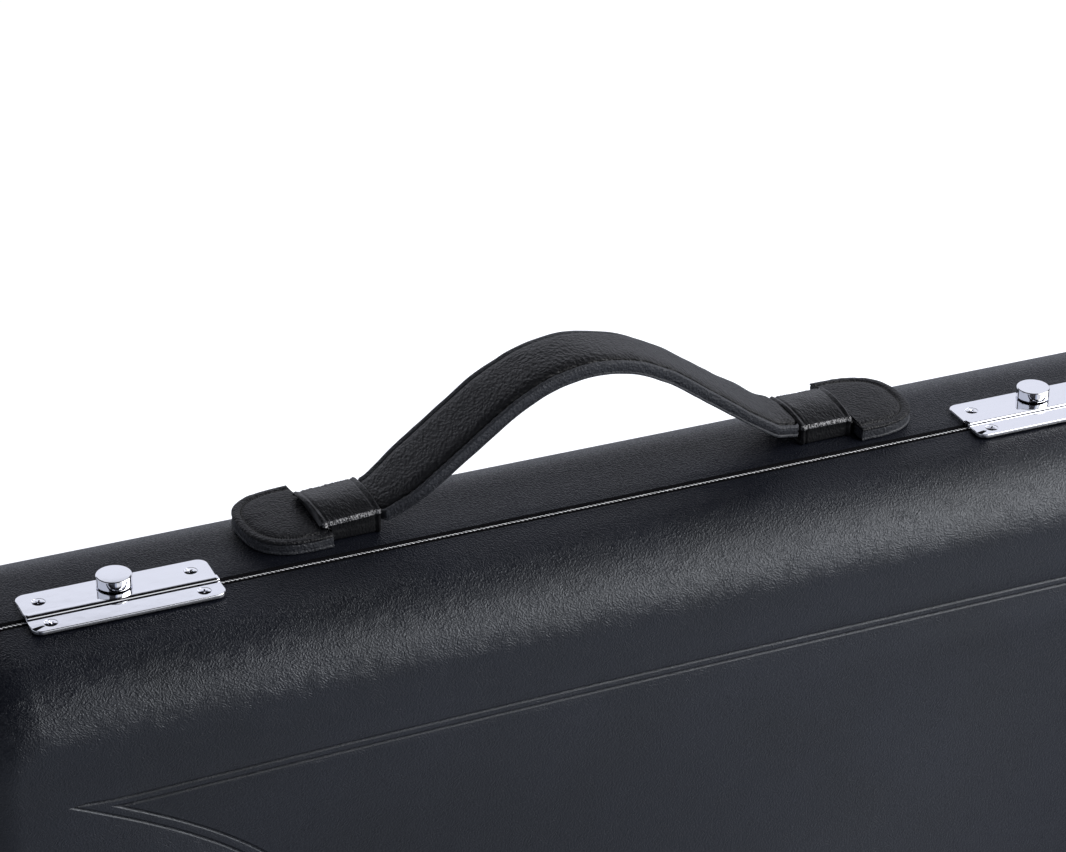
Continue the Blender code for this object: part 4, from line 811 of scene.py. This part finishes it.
def strap_profile(thickness, half):
    """Half-width and height pairs round the strap: a thin sole, sewn edges and a padded crown."""
    low, top = -thickness / 2, thickness / 2
    edge, sole, groove = top - STRAP_EDGE_DROP, low + 0.0006, half - STRAP_CHANNEL
    right = [
        (0, low), (groove, low), (half - 0.0003, low), (half, low + 0.00012), (half, sole - 0.00012),
        (half - 0.0003, sole), (half - 0.00042, sole + 0.00018), (half - 0.00026, sole + 0.0005),
        (half - 0.0002, edge - 0.0006), (half - 0.0003, edge - 0.0002), (half - 0.0007, edge),
        (groove + 0.0009, edge + 0.00004), (groove + 0.0005, edge - 0.0001),
        (groove + 0.00022, edge - 0.00085), (groove - 0.0003, edge - 0.00085),
        (groove - 0.00062, edge + 0.00016), (groove - 0.0015, top - 0.00022),
        (groove - 0.0032, top + 0.00002), (groove - 0.0055, top + 0.0001), (0, top + 0.00016),
    ]
    return right + [(-y, height) for y, height in reversed(right[1:-1])]


def strap():
    """The padded grip, bent into its arch."""
    stations, loops = 132, []
    for station in range(stations + 1):
        share = -1 + 2 * station / stations
        x, _, turn = strap_line(share)
        up = Vector((math.sin(turn), 0, math.cos(turn)))
        pinch = 1 - 0.14 * max(0.0, (abs(share) - 0.985) / 0.015) ** 2
        loop = []
        for y, rise in strap_profile(strap_thickness(share), strap_half(x)):
            spot = strap_spot(share, y * pinch, rise * pinch)
            wave = noise.noise(spot * 240) + noise.noise(Vector((spot.x * 90, spot.y * 700, 3)))
            loop.append(spot + up * wave * 0.00009)
        loops.append(loop)
    obj = lofted("grip", loops, 38)
    # Faces along the grip's sides take the paler edge leather, whose grey is partly painted light.
    for face in obj.data.polygons:
        spot = face.center - HANDLE_ORIGIN
        face.material_index = 1 if abs(spot.y) > strap_half(spot.x) - 0.0022 else 0
    dress(obj, "base", (STRAP_LEATHER, RAW_AND_LIT_EDGE), ["handle_strap"])
    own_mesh(obj)


def stitches(name, spots, radius, body):
    """Short stitches between pairs of points, each one a small bent capsule of six sides."""
    bm = bmesh.new()
    for start, end, up in spots:
        along = end - start
        side = along.cross(up).normalized()
        loops = []
        for share, size, lift in STITCH_FORM:
            centre = start + along * share + up * radius * lift
            loops.append([centre + side * u + up * v for u, v in circle(radius * size, 6)])
        loft(bm, loops)
    return dress(piece(name, bm, 60), body, (THREAD,))


def strap_stitches():
    """A row of stitches in the channel along each edge of the grip."""
    count, reach = 52, 0.95
    pitch = 2 * reach / count
    spots = []
    for way in SIDES:
        for stitch in range(count):
            start = -reach + pitch * stitch
            end = start + pitch * 0.74
            pair = []
            for share in (start, end):
                rise = strap_thickness(share) / 2 - STRAP_EDGE_DROP - 0.00062
                y = way * (strap_half(strap_line(share)[0]) - STRAP_CHANNEL)
                pair.append(strap_spot(share, y, rise))
            turn = strap_line((start + end) / 2)[2]
            spots.append((*pair, Vector((math.sin(turn), 0, math.cos(turn)))))
    obj = stitches("grip_stitching", spots, 0.00028, "base")
    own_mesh(obj)


def band_loop(half, low, high, low_radius, high_radius, arch, steps=7):
    """A closed loop in y and z with its own corner radius below and above, and an arched top."""
    points = arc((half - low_radius, low + low_radius), low_radius, -90, 0, 4)
    start, end = low + low_radius, high - high_radius
    points += [(half, start + (end - start) * step / 4) for step in range(1, 4)]
    points += arc((half - high_radius, high - high_radius), high_radius, 0, 90, steps)
    reach = half - high_radius
    points += [(reach * (1 - step / 8), high + arch * (1 - (1 - step / 8) ** 2)) for step in range(1, 9)]
    points += [(-y, z) for y, z in reversed(points[:-1])]
    return points


def sleeve(side):
    """A leather band over the strap: lips at its ends, a worn fold in front whose pale specks are partly a
    painted highlight, a flap over the end piece.
    """
    stations, word = 84, SIDES[side]
    wall_end, lip_end, climb = SLEEVE_LIES[side]
    outer, inner = [], []
    for station in range(stations + 1):
        share = station / stations
        along = share * (lip_end - SLEEVE_IN)
        place = lip_end - along
        rest = place - SLEEVE_IN
        high = SLEEVE_HIGH + climb * share
        end = min(along, rest)
        swell = 0.00034 * swell_at(end, 0.0007, 0.00042) - 0.0003 * swell_at(end, 0.0017, 0.0003)
        swell -= 0.00035 * max(0.0, 1 - end / 0.0003)
        loop = []
        for y, z in band_loop(SLEEVE_HALF - SLEEVE_SKIN, FIT, high, 0.0007, 0.0011, 0.0011):
            out = Vector((0, y, z - high / 2)).normalized()
            x = place + 0.0007 * (1 - share) * y / SLEEVE_HALF
            if z < FLAP_LOW:
                x = min(x, wall_end)
            spot = Vector((side * x, y, z))
            shoulder = swell_at(z, high - 0.0006, 0.0008) * (abs(y) > SLEEVE_HALF - 0.0019)
            grain = Vector((x * 1900, z * 700, side * 7 + (3 if y > 0 else 0)))
            crinkle = noise.noise(grain) * 0.00036 * shoulder
            pinch = 0.0003 * swell_at(z, high - 0.0024, 0.0006) * (abs(y) > SLEEVE_HALF - 0.0006)
            slow = noise.noise(spot * 170) * 0.00012
            loop.append(HANDLE_ORIGIN + spot + out * (swell + crinkle - pinch + 0.00022 * shoulder + slow))
        outer.append(loop)
        mouth = max(0.0, 1 - rest / 0.0032)
        over = 0.0009 if place > wall_end - 0.0004 else 0.0
        half, low = SLEEVE_HALF - 0.0013 + 0.0006 * mouth, 0.002 - 0.0008 * mouth
        channel_high, arch = 0.0044 + 0.0015 * mouth + over, 0.0002 + 0.0008 * mouth
        loop = []
        for y, z in band_loop(half, low, channel_high, 0.0005, 0.0005, arch):
            x = min(place, wall_end) if z < FLAP_LOW else place
            loop.append(HANDLE_ORIGIN + Vector((side * x, y, z)))
        inner.append(loop)
    obj = lofted(f"{word}_band", [*outer, *reversed(inner)], 42, ring=True)
    # The faces along the fold take the worn edge finish: pale specks that are partly wear and partly a
    # painted highlight.
    for face in obj.data.polygons:
        spot = face.center - HANDLE_ORIGIN
        share = 1 - (abs(spot.x) - SLEEVE_IN) / (lip_end - SLEEVE_IN)
        fold = SLEEVE_HIGH + climb * share
        on_fold = abs(spot.y) > SLEEVE_HALF - 0.001 and fold - 0.0014 < spot.z < fold
        face.material_index = 1 if on_fold and share > 0.04 else 0
    dress(obj, "base", (SLEEVE_LEATHER, WEAR_AND_HIGHLIGHT_EDGE), [f"{word}_sleeve"])


def end_outline(side, inset, square_inset, steps=40):
    """The D of a handle end as it lies, drawn in from its arc and from its square side."""
    out, back, turned_by = END_LIES[side]
    half, reach = END_HALF - inset, END_LENGTH - END_STRAIGHT - inset
    points = [(square_inset, -half)]
    for step in range(steps + 1):
        turn = math.radians(-90 + 180 * step / steps)
        across = math.copysign(abs(math.sin(turn)) ** (2 / END_POWER), math.sin(turn))
        points.append((END_STRAIGHT + reach * abs(math.cos(turn)) ** (2 / END_POWER), half * across))
    points.append((square_inset, half))
    sine, cosine = math.sin(turned_by), math.cos(turned_by)
    laid = [(END_X + out + u * cosine + v * sine, back + v * cosine - u * sine) for u, v in points]
    return [(side * x, y) for x, y in laid]


def end_sag(y):
    """How far a handle end sags towards the rolled edge behind it."""
    share = min(1.0, max(0.0, HANDLE_Y + y - BASE_FORM[1]) / (BASE_FORM[0] - BASE_FORM[1]))
    return END_SAG * BASE_FORM[2] * (1 - math.sqrt(1 - share * share))


def handle_end(side):
    """Two layers of leather sewn together near their arc, the upper one pillowed inside the seam."""
    low, top, word = END_LOW, END_TOP, SIDES[side]
    middle, raw_and_lit_rows = top - 0.0009, 7
    # Inset from the arc, height, inset from the square side
    section = [
        (0.0004, low, 0.0004), (0.0, low + 0.0001, 0.00012), (0, low + 0.0005, 0),
        (0.00028, low + 0.0007, 0.0001), (0.0003, low + 0.0014, 0.0001), (0.00018, middle - 0.0005, 0.0001),
        (0.0003, middle - 0.00016, 0.0001), (0.00075, middle, 0.0002),
        (0.00026, middle + 0.00014, 0.0001), (0.00006, middle + 0.0003, 0), (0.0001, top - 0.0003, 0),
        (0.00028, top - 0.0001, 0.00013), (0.0006, top, 0.0004), (0.0014, top + 0.00006, 0.00042),
        (0.0021, top - 0.00002, 0.00044), (0.0026, top - 0.00044, 0.00046), (0.0031, top - 0.00012, 0.00048),
        (0.0038, top + 0.00012, 0.0005), (0.0054, top + 0.00032, 0.00052), (0.008, top + 0.00042, 0.00054),
        (0.011, top + 0.00046, 0.00056), (0.014, top + 0.00046, 0.00058),
    ]
    # The lowest rows, the side walls, take the paler edge leather, whose grey is partly painted light.
    slots = [1] * raw_and_lit_rows + [0] * (len(section) - raw_and_lit_rows)
    loops = []
    for inset, height, square in section:
        loop = []
        for x, y in end_outline(side, inset, square):
            spot = Vector((x, y, height))
            wave = noise.noise(spot * 300) * 0.00009
            edge = noise.noise(spot * 1100) * 0.00014 if inset < 0.0009 else 0
            loop.append(HANDLE_ORIGIN + spot + Vector((0, 0, wave + edge - end_sag(y))))
        loops.append(loop)
    obj = lofted(f"{word}_tab", loops, 42, slots=slots)
    dress(obj, f"{word}_strap_end", (END_LEATHER, RAW_AND_LIT_EDGE), [f"{word}_handle_end"])
    path = []
    for x, y in end_outline(side, 0.0026, 0.0004, 52)[1:-1]:
        path.append(HANDLE_ORIGIN + Vector((x, y, top - 0.00036 - end_sag(y))))
    spots = [(here, here.lerp(there, 0.72), Vector((0, 0, 1))) for here, there in zip(path, path[1:])]
    stitches(f"{word}_tab_stitching", spots, 0.00022, f"{word}_strap_end")


def tongue(side):
    """The flat tongue that slides inside the band."""
    near, far, half_y = SLEEVE_IN + 0.0018, END_X + 0.0025, 0.00915
    origin = HANDLE_ORIGIN + Vector((side * (near + far) / 2, 0, 0))
    half_x = (far - near) / 2
    loops = []
    for inset, height in ((0.0003, 0.0023), (0, 0.0026), (0, 0.0036), (0.0003, 0.0039)):
        outline = rounded_box(half_x - inset, half_y - inset, 0.0015 - inset, 5)
        loops.append(lay(outline, height, origin))
    word = SIDES[side]
    dress(lofted(f"{word}_tongue", loops, 42), f"{word}_strap_end", (STRAP_LEATHER,))


strap()
strap_stitches()
for handle_side in SIDES:
    sleeve(handle_side)
    handle_end(handle_side)
    tongue(handle_side)


# --- interior

def soften(node):
    """A plush-covered copy of a plain solid, with every edge rounded."""
    obj = add_object(f"{node}_plush", frame["nodes"][node].data.copy())
    obj.data.materials.clear()
    modify(obj, "REMESH", mode="VOXEL", voxel_size=0.0024)
    modify(obj, "SMOOTH", factor=0.6, iterations=4)
    settle(obj)
    obj.data.shade_smooth()
    dress(obj, "base", (PLUSH,), [node])


def lining_frame():
    """The lining frame round the base's mouth, its lip rounded."""
    front, back, outer, inner, edge = -0.004, 0.021, WALL + FIT, WALL + FIT + 0.002, 0.0009
    section = [(back, outer), *arc((front + edge, outer + edge), edge, -90, -180, 5)]
    section += [*arc((front + edge, inner - edge), edge, 180, 90, 5), (back, inner)]
    loops = [stand(case_outline(inset), SEAM_Y + y) for y, inset in section]
    obj = lofted("lining_frame", loops, 50, ring=True)
    for side in SIDES:
        cut(obj, housing_box(side * LATCH_X, TOP_Z))
    dress(obj, "base", (PLUSH,), ["valance_frame"])


def cushion():
    """The lid's cushion, swollen as cloth over its stuffing and held flat where it is glued."""
    low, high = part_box("lid_pad")
    centre, size = (low + high) / 2, high - low
    back, front, reach = low.y, high.y, 0.0032
    loops = []
    for y, inset in ((back, 0.004), (back + 0.0022, 0.0022), (back + 0.0045, 0.003), (front - reach, 0.009)):
        outline = rounded_box(size.x / 2 - inset, size.z / 2 - inset, 0.014, 8)
        loops.append([(centre.x + u, y, centre.z + v) for u, v in outline])
    obj = lofted("lid_cushion", loops, 60)
    modify(obj, "REMESH", mode="VOXEL", voxel_size=0.003)
    settle(obj)
    rest = [vertex.co.copy() for vertex in obj.data.vertices]
    held = obj.vertex_groups.new(name="held")
    held.add([i for i, co in enumerate(rest) if co.y < back + 0.0012], 1.0, "REPLACE")
    cloth = obj.modifiers.new("cloth", "CLOTH")
    cloth.settings.use_pressure = True
    cloth.settings.uniform_pressure_force = 4
    cloth.settings.effector_weights.gravity = 0
    cloth.settings.vertex_group_mass = "held"
    for step in range(1, 21):
        bpy.context.scene.frame_set(step)
    settle(obj)
    bpy.context.scene.frame_set(1)
    for vertex, start in zip(obj.data.vertices, rest):
        move = vertex.co - start
        if move.length > reach:
            vertex.co = start + move * (reach / move.length)
        for axis in range(3):
            vertex.co[axis] = min(max(vertex.co[axis], low[axis]), high[axis])
    modify(obj, "SMOOTH", iterations=3)
    modify(obj, "SUBSURF", levels=1, render_levels=1)
    settle(obj)
    obj.data.shade_smooth()
    dress(obj, "lid", (PLUSH,), ["lid_pad"])


for block_name in ("joint_block", "bell_block", "small_parts_block", "accessory_tray"):
    soften(block_name)
lining_frame()
cushion()


# --- carried-over nodes

CAD_FINISHES = {
    "leatherette": LEATHERETTE, "plush": PLUSH, "plated": CHROME,
    "steel": STEEL, "leather": STRAP_LEATHER, "rubber": RUBBER,
}
for node in frame["nodes"].values():
    for place in node.material_slots:
        word = place.material.name.split(".")[0] if place.material else ""
        place.material = CAD_FINISHES.get(word, place.material)


# --- floor, light and camera

# The tone of the surroundings by azimuth: 0 is behind, 90 to the right, 180 in front
FRONT, REAR = (0.5, 0.54, 0.66), (0.88, 0.9, 1.0)
SIDE, GAP = (0.62, 0.65, 0.74), (0.04, 0.04, 0.045)
WORLD_PANELS = (
    (-180, FRONT), (-172, FRONT), (-166, GAP), (-132, GAP), (-126, SIDE), (-40, SIDE), (-35, GAP),
    (-27, GAP), (-22, REAR), (58, REAR), (66, GAP), (98, GAP), (106, SIDE), (180, FRONT),
)
CEILING, CEILING_EDGE = (0.008, 0.008, 0.009), (0.505, 0.54)
CAMERA_AZIMUTH, CAMERA_ELEVATION, CAMERA_ROLL = -23.762, 27.691, 0.442
CAMERA_PLACE = (-0.3601, -0.7721, 0.7232)
FOCUS_PIXELS, PICTURE_PIXELS, SENSOR = 3415.5, 1066, 36


def floor():
    """A pale floor that keeps the shadow and is white in the picture."""
    radius, sides, glow_share = 9.0, 96, 0.78
    mesh = bpy.data.meshes.new("floor")
    mesh.from_pydata([(x, y, 0) for x, y in circle(radius, sides)], [], [range(sides)])
    made = Finish("floor", Base_Color=(0.58, 0.61, 0.68, 1), Roughness=0.7, Specular_IOR_Level=0.2)
    glow = made.add("ShaderNodeEmission", Strength=made.math("MULTIPLY", made.camera_rays(), glow_share))
    both = made.fill(made.add("ShaderNodeAddShader"), made.shader.outputs[0], glow.outputs[0])
    made.feed(made.tree.nodes["Material Output"].inputs["Surface"], both)
    obj = add_object("floor", mesh)
    obj.data.materials.append(made.material)


def world():
    """White to the camera. To the object: pale and dark panels round the horizon, black overhead."""
    sky = bpy.context.scene.world or bpy.data.worlds.new("world")
    bpy.context.scene.world = sky
    sky.use_nodes = True
    sky.node_tree.nodes.clear()
    made = Nodes(sky.node_tree)
    place = made.add("ShaderNodeTexCoord").outputs["Generated"]
    x, y, z = made.add("ShaderNodeSeparateXYZ", Vector=place).outputs
    around = made.range(made.math("ARCTAN2", x, y), -math.pi, math.pi)
    panels = made.add("ShaderNodeValToRGB")
    panels.color_ramp.interpolation = "EASE"
    ramp = panels.color_ramp.elements
    for azimuth, tone in WORLD_PANELS:
        ramp.new((azimuth + 180) / 360).color = (*tone, 1)
    ramp.remove(ramp[0])
    ramp.remove(ramp[-1])
    overhead = made.range(z, *CEILING_EDGE, smooth=True)
    tone = made.colour(overhead, made.fill(panels, around), (*CEILING, 1))
    light = made.add("ShaderNodeBackground", Color=tone).outputs[0]
    white = made.add("ShaderNodeBackground", Color=(1, 1, 1, 1)).outputs[0]
    seen = made.fill(made.add("ShaderNodeMixShader"), made.camera_rays(), light, white)
    made.add("ShaderNodeOutputWorld", Surface=seen)


def outwards(azimuth, elevation):
    """The way out from the case, in degrees. Azimuth 0 is in front, 90 to the right."""
    az, el = math.radians(azimuth), math.radians(elevation)
    return Vector((math.sin(az) * math.cos(el), -math.cos(az) * math.cos(el), math.sin(el)))


def softbox(name, azimuth, elevation, distance, width, height, radiance):
    """A rectangular lamp that faces the top of the case."""
    lamp = bpy.data.lights.new(name, "AREA")
    lamp.shape = "RECTANGLE"
    lamp.size, lamp.size_y = width, height
    lamp.energy = radiance * math.pi * width * height
    obj = add_object(name, lamp)
    way = outwards(azimuth, elevation)
    obj.location = Vector((0, SEAM_Y, TOP_Z)) + way * distance
    obj.rotation_euler = way.to_track_quat("Z", "Y").to_euler()


def camera():
    """The photograph's camera, worked out from the case's straight edges."""
    back = outwards(CAMERA_AZIMUTH, CAMERA_ELEVATION)
    right = Vector((0, 0, 1)).cross(back).normalized()
    axes = Matrix((right, back.cross(right), back)).transposed()
    data = bpy.data.cameras.new("camera")
    data.sensor_fit, data.sensor_width = "HORIZONTAL", SENSOR
    data.lens = FOCUS_PIXELS / PICTURE_PIXELS * SENSOR
    data.clip_start, data.clip_end = 0.01, 40
    obj = add_object("camera", data)
    pose = (axes @ Matrix.Rotation(math.radians(CAMERA_ROLL), 3, "Z")).to_4x4()
    pose.translation = CAMERA_PLACE
    obj.matrix_world = pose
    bpy.context.scene.camera = obj


floor()
world()
softbox("key_softbox", azimuth=64, elevation=37, distance=1.4, width=1.5, height=1.2, radiance=5.8)
camera()
bpy.context.scene.view_settings.view_transform = "Standard"
